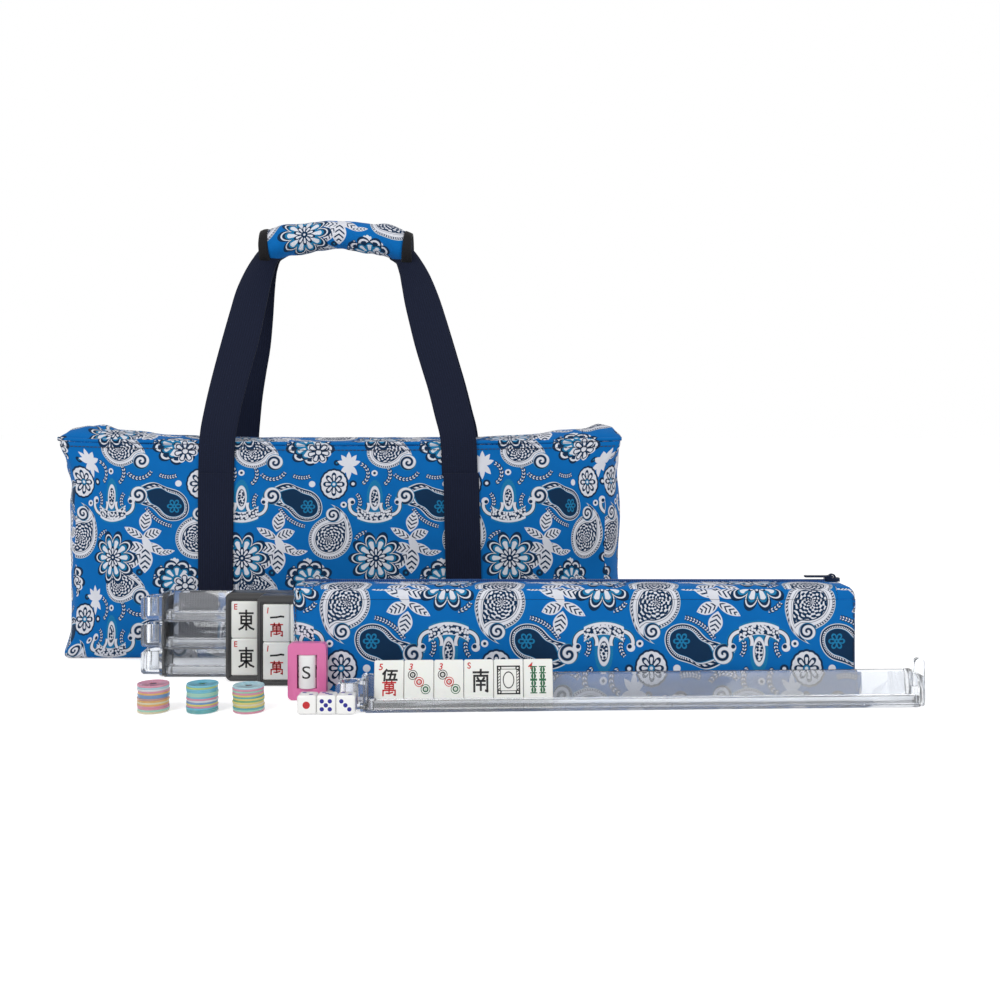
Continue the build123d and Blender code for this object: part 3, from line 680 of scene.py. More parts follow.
def soften_tote(x, y, z):
    """Where a point of the flat-sided tote goes once the cloth has settled."""
    side = 1 if x > 0 else -1
    share = x / HALF_LONG
    height = z / RIM
    depth = y / HALF_DEEP
    waves = read_waves(RIGHT_WAVES if x > 0 else LEFT_WAVES, z)
    upright = 1 - ramp(z, 0.172, 0.197)  # the rim holds its corners, the cloth below gives
    near_end = ramp(abs(share), 0.75, 1.0)
    belly = 1 - depth * depth
    pull = SEAM_PULL * upright * (1 - belly) * ramp(z, 0.0, 0.02)
    new_x = x - side * near_end * (pull + waves * upright * 0.6) + side * (
        abs(share) > 0.999) * GUSSET_BELLY * belly * upright * 0.4
    # panels: a slow billow, drawn folds near the ends, and fine puckers under the rim
    panel = ramp(abs(depth), 0.9, 1.0) * (1 if y > 0 else -1)
    billow = 0.0045 * math.sin(math.pi * height) * (1 - share * share)
    fold = 0.0035 * wrinkle(x, 0, z * 0.6, 0.075, 3.1 if y < 0 else 9.7)
    fold += 0.0012 * wrinkle(x, 0, z, 0.022, 5.3) * (0.3 + 0.7 * near_end)
    quiet = math.sin(math.pi * min(1.0, max(0.0, height))) ** 0.6
    new_y = y + panel * (billow + fold * quiet)
    gusset = (abs(share) > 0.999) * side
    new_x += gusset * belly * quiet * 0.004 * wrinkle(0, y, z, 0.04, 7.7)
    new_z = z - rim_drop(x) * height ** 3
    if z < BASE_CORNER:  # round the foot a little where the board ends
        inward = 0.003 * (1 - z / BASE_CORNER) ** 2
        new_x -= side * inward * (abs(share) > 0.97)
        new_y -= panel * inward
    return new_x, new_y, max(0.0, new_z)

# %% Sew the tote shell
tote_shell = add_box("tote_shell", (-HALF_LONG, -HALF_DEEP, 0), (HALF_LONG, HALF_DEEP, RIM))
cut_along(tote_shell, 0, 84)
cut_along(tote_shell, 1, 13)
cut_along(tote_shell, 2, 36)
lay_cloth_map(tote_shell)
remove_faces(tote_shell, lambda middle, normal: normal.z > 0.9)
reshape(tote_shell, soften_tote)
thicken_cloth(tote_shell, 0.0022)
dress(tote_shell, tote_cloth, "print_cloth", "front_panel", "back_panel", "left_gusset",
      "right_gusset", "base_panel")
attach(tote_shell, "tote")
print("tote shell faces:", len(tote_shell.data.polygons))

# %% [markdown]
# ## The top of the tote
# The rim is the panels' edge rolled over a cord, topstitched in navy thread. Between the
# rims lie two flaps that the zip joins, and a fixed tab of cloth at each end. The zip tape
# is taut, so the loose cloth on either side of it puffs up, most of all at the ends.

# %% Roll the rims and lay the flaps
PUFF_STATIONS = ((0.0, 0.0), (0.11, 0.001), (0.17, 0.0035), (0.205, 0.0075), (0.222, 0.0082),
                 (0.236, 0.0122), (0.247, 0.0105), (0.2555, 0.0035))
zip_gap = abs(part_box("top_flap_front")[1].y)
flap_root = abs(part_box("top_flap_front")[0].y)
flap_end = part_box("top_flap_front")[1].x
flap_under, flap_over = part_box("top_flap_front")[0].z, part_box("top_flap_front")[1].z


def puff(x, y):
    """How far the loose cloth of the top stands above the zip."""
    away = abs(x)
    height = PUFF_STATIONS[-1][1]
    for (x0, h0), (x1, h1) in zip(PUFF_STATIONS, PUFF_STATIONS[1:]):
        if x0 <= away <= x1:
            height = h0 + (h1 - h0) * ramp(away, x0, x1)
    share = min(1.0, max(0.0, (abs(y) - zip_gap) / (flap_root - zip_gap)))
    wave = 1 + 0.16 * wrinkle(x, y, 0, 0.03, 2.2)
    return height * wave * math.sin(math.pi * share ** 0.8) ** 0.7 - rim_drop(x) * share


def settle_top(x, y, z):
    return x, y, z + puff(x, y) + 0.0006 * wrinkle(x, y, 0, 0.018, 8.8)


def settle_rim(x, y, z):
    shift = soften_tote(x, math.copysign(HALF_DEEP, y), RIM)[1] - math.copysign(HALF_DEEP, y)
    return x, y + shift, z - rim_drop(x) + 0.0007 * wrinkle(x, y, 0, 0.035, 4.4)


def add_roll(name, low, high, radius, turns=12):
    """A round roll of cloth along X."""
    bpy.ops.object.select_all(action="DESELECT")
    bpy.ops.mesh.primitive_cylinder_add(vertices=turns, radius=radius, depth=high.x - low.x,
                                        location=(low + high) / 2, rotation=(0, math.pi / 2, 0))
    roll = bpy.context.object
    bpy.ops.object.transform_apply(location=True, rotation=True)
    roll.name = name
    return roll

# %% Roll the two rims
piping_low, piping_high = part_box("top_piping")
piping_radius = (piping_high.z - piping_low.z) / 2
for name, y in (("rim_front", piping_low.y + piping_radius), ("rim_back", piping_high.y - piping_radius)):
    rim = add_roll(name, Vector((piping_low.x, y, piping_low.z)), Vector((piping_high.x, y, piping_high.z)),
                   piping_radius * 1.15)
    cut_along(rim, 0, 90)
    lay_cloth_map(rim)
    reshape(rim, settle_rim)
    activate(rim)
    bpy.ops.object.shade_smooth()
    dress(rim, tote_cloth, "print_cloth", "top_piping")
    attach(rim, "tote")

# %% Lay the flaps and the end tabs
def add_top_cloth(name, low, high, body, node, cuts):
    """A piece of the top between two corners, puffed up from the flat."""
    cloth = add_box(name, low, high)
    cut_along(cloth, 0, cuts[0])
    cut_along(cloth, 1, cuts[1])
    lay_cloth_map(cloth)
    reshape(cloth, settle_top)
    apply_modifier(cloth, "BEVEL", width=0.0006, segments=2, limit_method="ANGLE")
    activate(cloth)
    bpy.ops.object.shade_smooth()
    dress(cloth, tote_cloth, "print_cloth", node)
    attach(cloth, body)
    return cloth


add_top_cloth("flap_front", (-flap_end, -flap_root, flap_under), (flap_end, -zip_gap, flap_over),
              "front_flap", "top_flap_front", (60, 12))
add_top_cloth("flap_back", (-flap_end, zip_gap, flap_under), (flap_end, flap_root, flap_over),
              "back_flap", "top_flap_back", (60, 12))
tab_start = flap_end + 0.0003
for side in (-1, 1):
    for face, y0, y1 in (("front", -flap_root, -zip_gap), ("back", zip_gap, flap_root)):
        x0, x1 = sorted((side * tab_start, side * HALF_LONG))
        add_top_cloth(f"end_tab_{face}_{'right' if side > 0 else 'left'}", (x0, y0, flap_under),
                      (x1, y1, flap_over), "tote", "top_end_tabs", (10, 12))
print("top cloth laid, puffed up to", max(height for _, height in PUFF_STATIONS))

# %% [markdown]
# ## Webbing
# Handle webbing is a flat woven strap: fine ribs run along it and its two selvedges are a
# little thicker. The ribs are a wave across the strap's own map, so they follow every
# bend of it. Each leg is a thin box bent along a line of stations.

# %% Make the webbing
RIB = 0.0021
webbing, tree, shader = new_material("navy_webbing", Roughness=0.75, Sheen_Weight=0.05,
                                     Sheen_Roughness=0.45, Specular_IOR_Level=0.15)
strap_map = add_node(tree, "ShaderNodeUVMap", settings={"uv_map": "cloth"})
u, v, _ = split(tree, strap_map)
ribs = (u * (TURN / RIB)).does("SINE")
picks = ((v * (TURN / 0.0011)) + ribs * 1.3).does("SINE")
fuzz = add_node(tree, "ShaderNodeTexNoise", Vector=strap_map, Scale=900.0, Detail=2.0)
tone = (ribs * 0.18 + picks * 0.14 + fuzz * 0.5 + 0.2)
colour = mix(tree, tone, rgb(8, 13, 30), rgb(20, 29, 54))
tree.links.new(colour.socket, shader.inputs["Base Color"])
bump(tree, shader, ribs * 0.6 + picks * 0.5, 0.5, 0.0003)

WEB_WIDE = 0.032
WEB_THICK = 0.0018
# Height, sideways place, depth and width of each free leg, read up from its cross seam
LEFT_LEG = (
    (0.166, -0.1112, -0.0487, 0.0322), (0.200, -0.1098, -0.0489, 0.0322),
    (0.222, -0.1072, -0.0445, 0.0324), (0.243, -0.1040, -0.0385, 0.0328),
    (0.266, -0.0995, -0.0325, 0.0332), (0.289, -0.0945, -0.0265, 0.0335),
    (0.313, -0.0900, -0.0205, 0.0320), (0.334, -0.0862, -0.0155, 0.0300),
    (0.352, -0.0815, -0.0110, 0.0262), (0.365, -0.0765, -0.0080, 0.0225),
    (0.374, -0.0705, -0.0058, 0.0200), (0.379, -0.0620, -0.0045, 0.0190))
RIGHT_LEG = (
    (0.166, 0.1088, -0.0487, 0.0322), (0.200, 0.1072, -0.0489, 0.0322),
    (0.224, 0.1015, -0.0440, 0.0326), (0.248, 0.0953, -0.0380, 0.0330),
    (0.268, 0.0892, -0.0322, 0.0336), (0.289, 0.0829, -0.0265, 0.0340),
    (0.310, 0.0770, -0.0212, 0.0332), (0.329, 0.0716, -0.0165, 0.0318),
    (0.346, 0.0665, -0.0120, 0.0285), (0.360, 0.0610, -0.0085, 0.0240),
    (0.371, 0.0545, -0.0060, 0.0205), (0.377, 0.0450, -0.0045, 0.0190))

# %% Bend a free leg of webbing
def station_at(stations, share):
    """Blend smoothly between stations; share runs from 0 to 1 along the leg."""
    place = share * (len(stations) - 1)
    index = min(int(place), len(stations) - 2)
    t = place - index
    near = [stations[max(0, min(len(stations) - 1, index + k))] for k in (-1, 0, 1, 2)]
    blend = []
    for a, b, c, d in zip(*near):
        blend.append(0.5 * (2 * b + (c - a) * t + (2 * a - 5 * b + 4 * c - d) * t * t
                            + (3 * b - a - 3 * c + d) * t ** 3))
    return blend


def add_free_leg(name, stations, back, curl, node):
    """Bend one free leg of a handle loop through its stations."""
    leg = add_box(name, (-0.5, -WEB_THICK / 2, 0), (0.5, WEB_THICK / 2, 1))
    cut_along(leg, 0, 8)
    cut_along(leg, 2, 54)
    length = 0.26
    mesh = leg.data
    cloth_map = mesh.uv_layers.new(name="cloth")
    for loop in mesh.loops:
        x, _, z = mesh.vertices[loop.vertex_index].co
        cloth_map.data[loop.index].uv = (x * WEB_WIDE, z * length)

    def bend(x, y, z):
        height, east, depth, width = station_at(stations, z)
        ahead = station_at(stations, min(1.0, z + 0.02))
        behind = station_at(stations, max(0.0, z - 0.02))
        run = Vector((ahead[1] - behind[1], 0, ahead[0] - behind[0])).normalized()
        over = Vector((run.z, 0, -run.x))  # across the strap, in its own plane
        fold = ramp(z, 0.45, 1.0)
        bowl = curl * fold * (x * x * 4 - 0.35) * 0.006
        ripple = 0.0010 * math.sin(9 * z + 2 * x) * math.sin(math.pi * z)
        middle = Vector((east, depth + bowl + ripple + y, height))
        place = middle + over * (x * width)
        return (place.x, -place.y if back else place.y, place.z)

    reshape(leg, bend)
    if back:
        activate(leg)
        bpy.ops.object.mode_set(mode="EDIT")
        bpy.ops.mesh.select_all(action="SELECT")
        bpy.ops.mesh.normals_make_consistent(inside=False)
        bpy.ops.object.mode_set(mode="OBJECT")
    apply_modifier(leg, "BEVEL", width=0.0005, segments=2, limit_method="ANGLE", angle_limit=1.0)
    activate(leg)
    bpy.ops.object.shade_smooth()
    dress(leg, webbing, "webbing", node)
    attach(leg, "tote")
    return leg


SEAM_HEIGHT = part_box("strap_front")[0].z
for name, stations, curl in (("left", LEFT_LEG, 1), ("right", RIGHT_LEG, 1)):
    for back, word in ((False, "front"), (True, "back")):
        leg = add_free_leg(f"strap_{word}_{name}", stations, back, curl, f"strap_{word}")
        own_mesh(leg)

leg_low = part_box("webbing_front")[0].z
for side, lean in ((-1, 0.0), (1, 0.004)):
    for back, node in ((False, "webbing_front"), (True, "webbing_back")):
        middle = side * 0.1100 + (0.0 if side > 0 else -0.0010)
        leg = add_box(f"sewn_leg_{'back' if back else 'front'}_{'right' if side > 0 else 'left'}",
                      (middle - WEB_WIDE / 2, -WEB_THICK / 2, leg_low),
                      (middle + WEB_WIDE / 2, WEB_THICK / 2, SEAM_HEIGHT + 0.002))
        cut_along(leg, 0, 8)
        cut_along(leg, 2, 36)
        lay_cloth_map(leg)

        def hug_panel(x, y, z):
            """Follow the billowed panel, a hair outside it."""
            panel_y = soften_tote(x, -HALF_DEEP, z)[1] if not back else soften_tote(x, HALF_DEEP, z)[1]
            out = 0.0011 + 0.0004 * wrinkle(x, 0, z, 0.03, 6.1)
            return x - lean * (SEAM_HEIGHT - z) / SEAM_HEIGHT * -1, panel_y + y + (out if back else -out), z

        reshape(leg, hug_panel)
        apply_modifier(leg, "BEVEL", width=0.0005, segments=2, limit_method="ANGLE", angle_limit=1.0)
        activate(leg)
        bpy.ops.object.shade_smooth()
        dress(leg, webbing, "webbing", node)
        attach(leg, "tote")

# %% [markdown]
# ## Stitching
# A row of stitches is many short threads, each with its ends sunk in the cloth. One small
# six-sided thread is laid again and again along a line.

# %% Sew rows of stitches
thread_navy, tree, shader = new_material("navy_thread", Roughness=0.6, Sheen_Weight=0.2)
twist = add_node(tree, "ShaderNodeTexWave", 1, {"wave_type": "BANDS", "bands_direction": "DIAGONAL"},
                 Vector=add_node(tree, "ShaderNodeTexCoord", 3), Scale=900.0)
colour = mix(tree, twist, rgb(10, 16, 34), rgb(30, 38, 64))
tree.links.new(colour.socket, shader.inputs["Base Color"])


def sew(name, path, body, slot, stitch=0.0026, gap=0.0010, radius=0.00035, material=None):
    """Lay stitches along a path of points, as one piece."""
    mesh = bmesh.new()
    reach = 0.0
    runs = [(Vector(b) - Vector(a)).length for a, b in zip(path, path[1:])]
    total = sum(runs)
    while reach + stitch < total:
        ends = []
        for mark in (reach, reach + stitch):
            past = 0.0
            for index, run in enumerate(runs):
                if mark <= past + run or index == len(runs) - 1:
                    ends.append(Vector(path[index]).lerp(Vector(path[index + 1]), (mark - past) / run))
                    break
                past += run
        start, end = ends
        turn = (end - start).to_track_quat("Z", "Y").to_matrix().to_4x4()
        place = Matrix.Translation((start + end) / 2) @ turn
        bmesh.ops.create_cone(mesh, cap_ends=True, segments=6, radius1=radius, radius2=radius,
                              depth=(end - start).length, matrix=place)
        reach += stitch + gap
    data = bpy.data.meshes.new(name)
    mesh.to_mesh(data)
    mesh.free()
    piece = bpy.data.objects.new(name, data)
    bpy.context.collection.objects.link(piece)
    dress(piece, material or thread_navy, slot)
    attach(piece, body)
    return piece

# %% Topstitch the rims
TOPSTITCH_DROP = 0.0045
for word, face in (("front", -1), ("back", 1)):
    line = []
    for step in range(121):
        x = -HALF_LONG * 0.985 + step * HALF_LONG * 1.97 / 120
        place = soften_tote(x, face * HALF_DEEP, RIM - TOPSTITCH_DROP)
        line.append((place[0], place[1] + face * 0.0003, place[2]))
    sew(f"rim_stitches_{word}", line, "tote", "print_cloth")
print("stitches sewn along both rims")

# %% [markdown]
# ## Padded handle wrap
# The wrap is a strip of the printed cloth over foam, closed round both loops, with a black
# binding at each end. It arches between its ends, is thicker towards them, and creases
# across where it bends. A tube is bent over the arch, its creases are pushed in, and one
# round of smoothing lets the padding look full.

# %% Bend the wrap over its arch
wrap_low, wrap_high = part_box("handle_wrap")
bind_low, bind_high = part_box("wrap_bindings")
WRAP_MIDDLE = (bind_low.x + bind_high.x) / 2
WRAP_HALF = (bind_high.x - bind_low.x) / 2 - 0.003
WRAP_BINDING = 0.009
CENTRE_STATIONS = ((-1.0, 0.3790), (-0.6, 0.3868), (0.0, 0.3915), (0.6, 0.3868), (1.0, 0.3768))
RADIUS_STATIONS = ((-1.0, 0.0150), (-0.75, 0.0156), (-0.35, 0.0140), (0.0, 0.0134), (0.4, 0.0142),
                   (0.75, 0.0156), (1.0, 0.0148))


def read_line(stations, share):
    for (s0, a), (s1, b) in zip(stations, stations[1:]):
        if share <= s1:
            return a + (b - a) * ramp(share, s0, s1)
    return stations[-1][1]


def on_wrap(share, angle, radius):
    """A point on the wrap: share -1..1 along it, angle round it from the top."""
    height = read_line(CENTRE_STATIONS, share)
    slope = (read_line(CENTRE_STATIONS, min(1, share + 0.05))
             - read_line(CENTRE_STATIONS, max(-1, share - 0.05))) / (0.1 * WRAP_HALF)
    lift = math.cos(angle) * radius
    return (WRAP_MIDDLE + share * WRAP_HALF - lift * slope * 0.3, math.sin(angle) * radius, height + lift)


def add_sleeve(name, start, end, turns, cuts, swell):
    """A tube along the wrap between two shares of its half length."""
    bpy.ops.object.select_all(action="DESELECT")
    bpy.ops.mesh.primitive_cylinder_add(vertices=turns, radius=1, depth=1, end_fill_type="NOTHING",
                                        rotation=(0, math.pi / 2, 0))
    tube = bpy.context.object
    bpy.ops.object.transform_apply(rotation=True)
    tube.name = name
    cut_along(tube, 0, cuts)
    mesh = tube.data
    cloth_map = mesh.uv_layers.get("cloth") or mesh.uv_layers.new(name="cloth")
    mesh.uv_layers.active = cloth_map
    for face in mesh.polygons:
        base = math.atan2(face.center.y, face.center.z)
        for corner in face.loop_indices:
            x, y, z = mesh.vertices[mesh.loops[corner].vertex_index].co
            angle = math.atan2(y, z)
            angle += TURN * round((base - angle) / TURN)
            cloth_map.data[corner].uv = (x * (end - start) * WRAP_HALF, angle * 0.0145)
    reshape(tube, lambda x, y, z: on_wrap(start + (x + 0.5) * (end - start), math.atan2(y, z),
                                          read_line(RADIUS_STATIONS, start + (x + 0.5) * (end - start))
                                          + swell(start + (x + 0.5) * (end - start), math.atan2(y, z))))
    return tube


def wrap_creases(share, angle):
    """Shallow creases across the underside and a soft ridge where the wrap is closed."""
    under = 0.5 - 0.5 * math.cos(angle)
    crease = -0.0011 * under * max(0.0, math.sin(share * 17.0 + math.sin(angle) * 0.8)) ** 2
    closure = 0.0012 * math.exp(-((angle - 2.3) / 0.12) ** 2)
    return crease + closure + 0.0008 * wrinkle(
        share * 0.07, math.sin(angle) * 0.014, math.cos(angle) * 0.014, 0.011, 1.7)

# %% Pad the wrap
wrap_cloth = printed_cloth("wrap_cloth", shift=(0.0315, 0.0266))
inner_share = 1 - WRAP_BINDING * 0.9 / WRAP_HALF
wrap = add_sleeve("padded_wrap", -inner_share, inner_share, 40, 44, wrap_creases)
thicken_cloth(wrap, 0.0025)
dress(wrap, wrap_cloth, "print_cloth", "handle_wrap")
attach(wrap, "handle")

# %% Bind the ends of the wrap
binding_tape, tree, shader = new_material("black_binding", Roughness=0.7, Sheen_Weight=0.04,
                                          Sheen_Roughness=0.5, Specular_IOR_Level=0.2)
place = add_node(tree, "ShaderNodeUVMap", settings={"uv_map": "cloth"})
u, v, _ = split(tree, place)
ribs = (u * (TURN / 0.0009) + (v * (TURN / 0.0030)).does("SINE")).does("SINE")
colour = mix(tree, ribs * 0.5 + 0.5, rgb(5, 5, 7), rgb(20, 19, 23))
tree.links.new(colour.socket, shader.inputs["Base Color"])
bump(tree, shader, ribs, 0.5, 0.0003)
binding_share = WRAP_BINDING / WRAP_HALF
for name, start, end in (("binding_left", -1.0, -1.0 + binding_share),
                         ("binding_right", 1.0 - binding_share, 1.0)):
    middle = (start + end) / 2
    ring = add_sleeve(name, start, end, 36, 8, lambda share, angle: 0.0012 + 0.0007 * (
        1 - ((share - middle) / (binding_share / 2)) ** 2) + 0.0006 * wrinkle(
            math.sin(angle), math.cos(angle), share * 9, 0.55, 3.0))
    thicken_cloth(ring, 0.0032)
    dress(ring, binding_tape, "binding", "wrap_bindings")
    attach(ring, "handle")

# %% Lay the four plies inside the wrap
bundle_low, bundle_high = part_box("webbing_bundle")
for layer, y in enumerate((-0.0034, -0.0011, 0.0011, 0.0034)):
    ply = add_box(f"bundle_ply_{layer + 1}", (-1, y - 0.0009, -0.0098), (1, y + 0.0009, 0.0098))
    cut_along(ply, 0, 30)
    lay_cloth_map(ply)
    for corner in ply.data.uv_layers["cloth"].data:
        corner.uv = (corner.uv[1], corner.uv[0] * WRAP_HALF)
    reshape(ply, lambda x, y, z: (on_wrap(x * 0.985, 0, z)[0], y, on_wrap(x * 0.985, 0, z)[2]))
    apply_modifier(ply, "BEVEL", width=0.0005, segments=2, limit_method="ANGLE", angle_limit=1.0)
    dress(ply, webbing, "webbing", "webbing_bundle")
    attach(ply, "handle")
print("wrap from", round(wrap_low.x, 3), "to", round(wrap_high.x, 3))

# %% [markdown]
# ## Slim case
# The slim case holds two full trays, so it is taut: flat panels with soft, rolled edges. Its
# print lies upside down, as a cut from the other end of the cloth. A flap along the front
# closes over the top to a zip at the back.

# %% Sew the slim case
case_cloth = printed_cloth("case_cloth", turned=True, shift=(0.1069, -0.0291))
shell_low, shell_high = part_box("slim_case_shell")
top_low, top_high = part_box("slim_case_top")
case_flap_low, case_flap_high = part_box("slim_case_flap")
CASE_MIDDLE = (shell_low + shell_high) / 2


def soften_case(x, y, z):
    """A slight fullness in the long panels and ripples near the ends."""
    half_long = (shell_high.x - shell_low.x) / 2
    share = (x - CASE_MIDDLE.x) / half_long
    depth = (y - CASE_MIDDLE.y) / (shell_high.y - CASE_MIDDLE.y)
    end = ramp(abs(share), 0.97, 1.0)
    quiet = math.sin(math.pi * min(1.0, max(0.0, z / top_high.z))) ** 0.5
    full = 0.0009 * quiet + 0.0008 * wrinkle(x, 0, z, 0.04, 2.9) * quiet
    new_y = y + ramp(abs(depth), 0.8, 1.0) * math.copysign(full, depth)
    new_x = x + math.copysign(0.0012 * wrinkle(0, y, z, 0.02, 1.3) * quiet, share) * end
    return new_x, new_y, z


def round_edges(piece, width, segments, test):
    """Bevel the edges that the test picks."""
    activate(piece)
    bpy.ops.object.mode_set(mode="EDIT")
    bpy.ops.mesh.select_mode(type="EDGE")
    bpy.ops.mesh.select_all(action="DESELECT")
    mesh = bmesh.from_edit_mesh(piece.data)
    for edge in mesh.edges:
        edge.select = test(edge)
    bmesh.update_edit_mesh(piece.data)
    bpy.ops.mesh.bevel(offset=width, segments=segments)
    bpy.ops.object.mode_set(mode="OBJECT")


def add_rounded_tray(name, low, high, radius, rows, long_cuts=56, short_cuts=8, arc=5):
    """Walls and a bottom with round upright corners, open at the top."""
    outline = []
    corners = ((high.x, low.y, -90, long_cuts), (high.x, high.y, 0, short_cuts),
               (low.x, high.y, 90, long_cuts), (low.x, low.y, 180, short_cuts))
    for x, y, start, cuts in corners:
        middle = Vector((x - math.copysign(radius, x - CASE_MIDDLE.x),
                         y - math.copysign(radius, y - CASE_MIDDLE.y)))
        turned = [middle + radius * Vector((math.cos(math.radians(start + 90 * k / arc)),
                                            math.sin(math.radians(start + 90 * k / arc))))
                  for k in range(arc + 1)]
        if outline:
            outline += [outline[-1].lerp(turned[0], k / cuts) for k in range(1, cuts)]
        outline += turned
    outline += [outline[-1].lerp(outline[0], k / long_cuts) for k in range(1, long_cuts)]
    around = len(outline)
    places = [(p.x, p.y, low.z + (high.z - low.z) * row / rows) for row in range(rows + 1) for p in outline]
    faces = [(row * around + k, row * around + (k + 1) % around, (row + 1) * around + (k + 1) % around,
              (row + 1) * around + k) for row in range(rows) for k in range(around)]
    faces.append(tuple(reversed(range(around))))
    data = bpy.data.meshes.new(name)
    data.from_pydata(places, [], faces)
    piece = bpy.data.objects.new(name, data)
    bpy.context.collection.objects.link(piece)
    return piece

# %% Sew the shell, the flap and the top of the slim case
case_shell = add_rounded_tray("case_shell", shell_low, shell_high, 0.005, 14)
lay_cloth_map(case_shell)
reshape(case_shell, soften_case)
thicken_cloth(case_shell, 0.0012, rounds=0)
bpy.ops.object.shade_smooth_by_angle(angle=math.radians(50))
dress(case_shell, case_cloth, "print_cloth", "slim_case_shell")
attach(case_shell, "slim_case")

case_flap = add_box("case_flap", case_flap_low, case_flap_high)
lay_cloth_map(case_flap)
round_edges(case_flap, 0.0075, 6, lambda edge: all(
    v.co.y < case_flap_low.y + 1e-5 and v.co.z > case_flap_high.z - 1e-5 for v in edge.verts))
cut_along(case_flap, 0, 60)
reshape(case_flap, soften_case)
activate(case_flap)
bpy.ops.object.shade_smooth_by_angle(angle=math.radians(40))
dress(case_flap, case_cloth, "print_cloth", "slim_case_flap")
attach(case_flap, "slim_flap")

end_left, end_right = top_low.x, top_high.x
for name, x0, x1, y0 in (("case_end_left", end_left, case_flap_low.x - 0.0003, top_low.y),
                         ("case_end_right", case_flap_high.x + 0.0003, end_right, top_low.y),
                         ("case_top_back", case_flap_low.x - 0.0003, case_flap_high.x + 0.0003,
                          case_flap_high.y + 0.0003)):
    tab = add_box(name, (x0, y0, top_low.z), (x1, top_high.y, top_high.z))
    lay_cloth_map(tab)
    if name == "case_top_back":
        round_edges(tab, 0.002, 3, lambda edge: all(
            v.co.z > top_high.z - 1e-5 and v.co.y > top_high.y - 1e-5 for v in edge.verts))
    else:
        outer = end_left if "left" in name else end_right
        round_edges(tab, 0.0078 if "right" in name else 0.003, 6, lambda edge: all(
            abs(v.co.x - outer) < 1e-5 and v.co.z > top_high.z - 1e-5 for v in edge.verts))
        round_edges(tab, 0.005, 4, lambda edge: all(
            v.co.y < top_low.y + 1e-5 and v.co.z > top_low.z + 0.001 for v in edge.verts) or all(
                abs(v.co.x - outer) < 1e-5 and abs(v.co.y - top_low.y) < 1e-5 for v in edge.verts))
    activate(tab)
    bpy.ops.object.shade_smooth_by_angle(angle=math.radians(40))
    dress(tab, case_cloth, "print_cloth", "slim_case_top")
    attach(tab, "slim_case")

# %% Topstitch the slim case
for name, x in (("case_stitches_left", shell_low.x + 0.0022), ("case_stitches_right", shell_high.x - 0.0022)):
    front = soften_case(x, shell_low.y, 0.04)[1]
    sew(name, [(x, front - 0.0003, 0.004), (x, front - 0.0003, top_high.z - 0.006)], "slim_case",
        "print_cloth", stitch=0.0030, gap=0.0014, radius=0.0004)
print("slim case", [round(v, 3) for v in shell_high - shell_low])

# %% [markdown]
# ## Plastics, resin and ink
# Each hard material is a plain colour with a little life in it: a faint mottle in the
# colour and a fine grain in the surface, both read from the place on the object.


# %% Make the hard materials
def solid_material(name, colour, roughness, mottle=0.04, grain=600.0, relief=0.00003, **sockets):
    material, tree, shader = new_material(name, Roughness=roughness, **sockets)
    place = add_node(tree, "ShaderNodeTexCoord", 3)
    cloud = add_node(tree, "ShaderNodeTexNoise", Vector=place, Scale=grain * 0.06, Detail=3.0)
    speck = add_node(tree, "ShaderNodeTexNoise", Vector=place, Scale=grain, Detail=2.0)
    darker = tuple(value * (1 - mottle * 2) for value in colour[:3]) + (1.0,)
    tone = mix(tree, cloud, darker, colour)
    tree.links.new(tone.socket, shader.inputs["Base Color"])
    bump(tree, shader, speck, 0.4, relief)
    return material


tile_resin = solid_material("ivory_resin", rgb(238, 237, 232), 0.22, 0.02, 300, Coat_Weight=0.35,
                            Coat_Roughness=0.08, Subsurface_Weight=0.08)
tray_plastic = solid_material("black_tray_plastic", rgb(44, 44, 46), 0.3, 0.08, 900, 0.00004, Coat_Weight=0.3,
                              Coat_Roughness=0.15)
acrylic = solid_material("clear_acrylic", rgb(250, 252, 255), 0.05, 0.01, 60, 0.000015,
                         Transmission_Weight=0.94, IOR=1.49)
pink_plastic = solid_material("pink_plastic", rgb(222, 112, 168), 0.3, 0.04, 500, Coat_Weight=0.2)
white_plastic = solid_material("white_plastic", rgb(240, 240, 240), 0.28, 0.02, 500)
dice_resin = solid_material("dice_resin", rgb(242, 242, 240), 0.2, 0.02, 300, Coat_Weight=0.4)
board_card = solid_material("board_card", rgb(70, 70, 74), 0.8, 0.15, 400, 0.0001)
pin_steel = solid_material("pin_steel", rgb(190, 192, 196), 0.25, 0.05, 900, Metallic=1.0)
ink_red = solid_material("red_ink", rgb(196, 28, 36), 0.35, 0.08, 500)
ink_black = solid_material("black_ink", rgb(24, 24, 28), 0.35, 0.1, 500)
ink_green = solid_material("green_ink", rgb(18, 96, 58), 0.35, 0.1, 500)
ink_blue = solid_material("blue_ink", rgb(20, 20, 140), 0.35, 0.1, 500)
ink_white = solid_material("white_ink", rgb(236, 236, 232), 0.35, 0.03, 500)
INKS = {"red": ink_red, "black": ink_black, "green": ink_green, "blue": ink_blue, "white": ink_white}

# %% Make the zip coil and tape
zip_cloth, tree, shader = new_material("zip_coil_and_tape", Roughness=0.5)
x, y, z = object_axes(tree)
coil = ((x * (TURN / 0.0016)) + y.does("ABSOLUTE") * 900.0).does("SINE")
colour = mix(tree, coil * 0.5 + 0.5, rgb(4, 40, 92), rgb(10, 84, 156))
tree.links.new(colour.socket, shader.inputs["Base Color"])
bump(tree, shader, coil, 0.6, 0.0004)
zip_metal = solid_material("zip_metal", rgb(34, 44, 66), 0.35, 0.1, 900, 0.00005, Metallic=1.0)
print("hard materials ready")

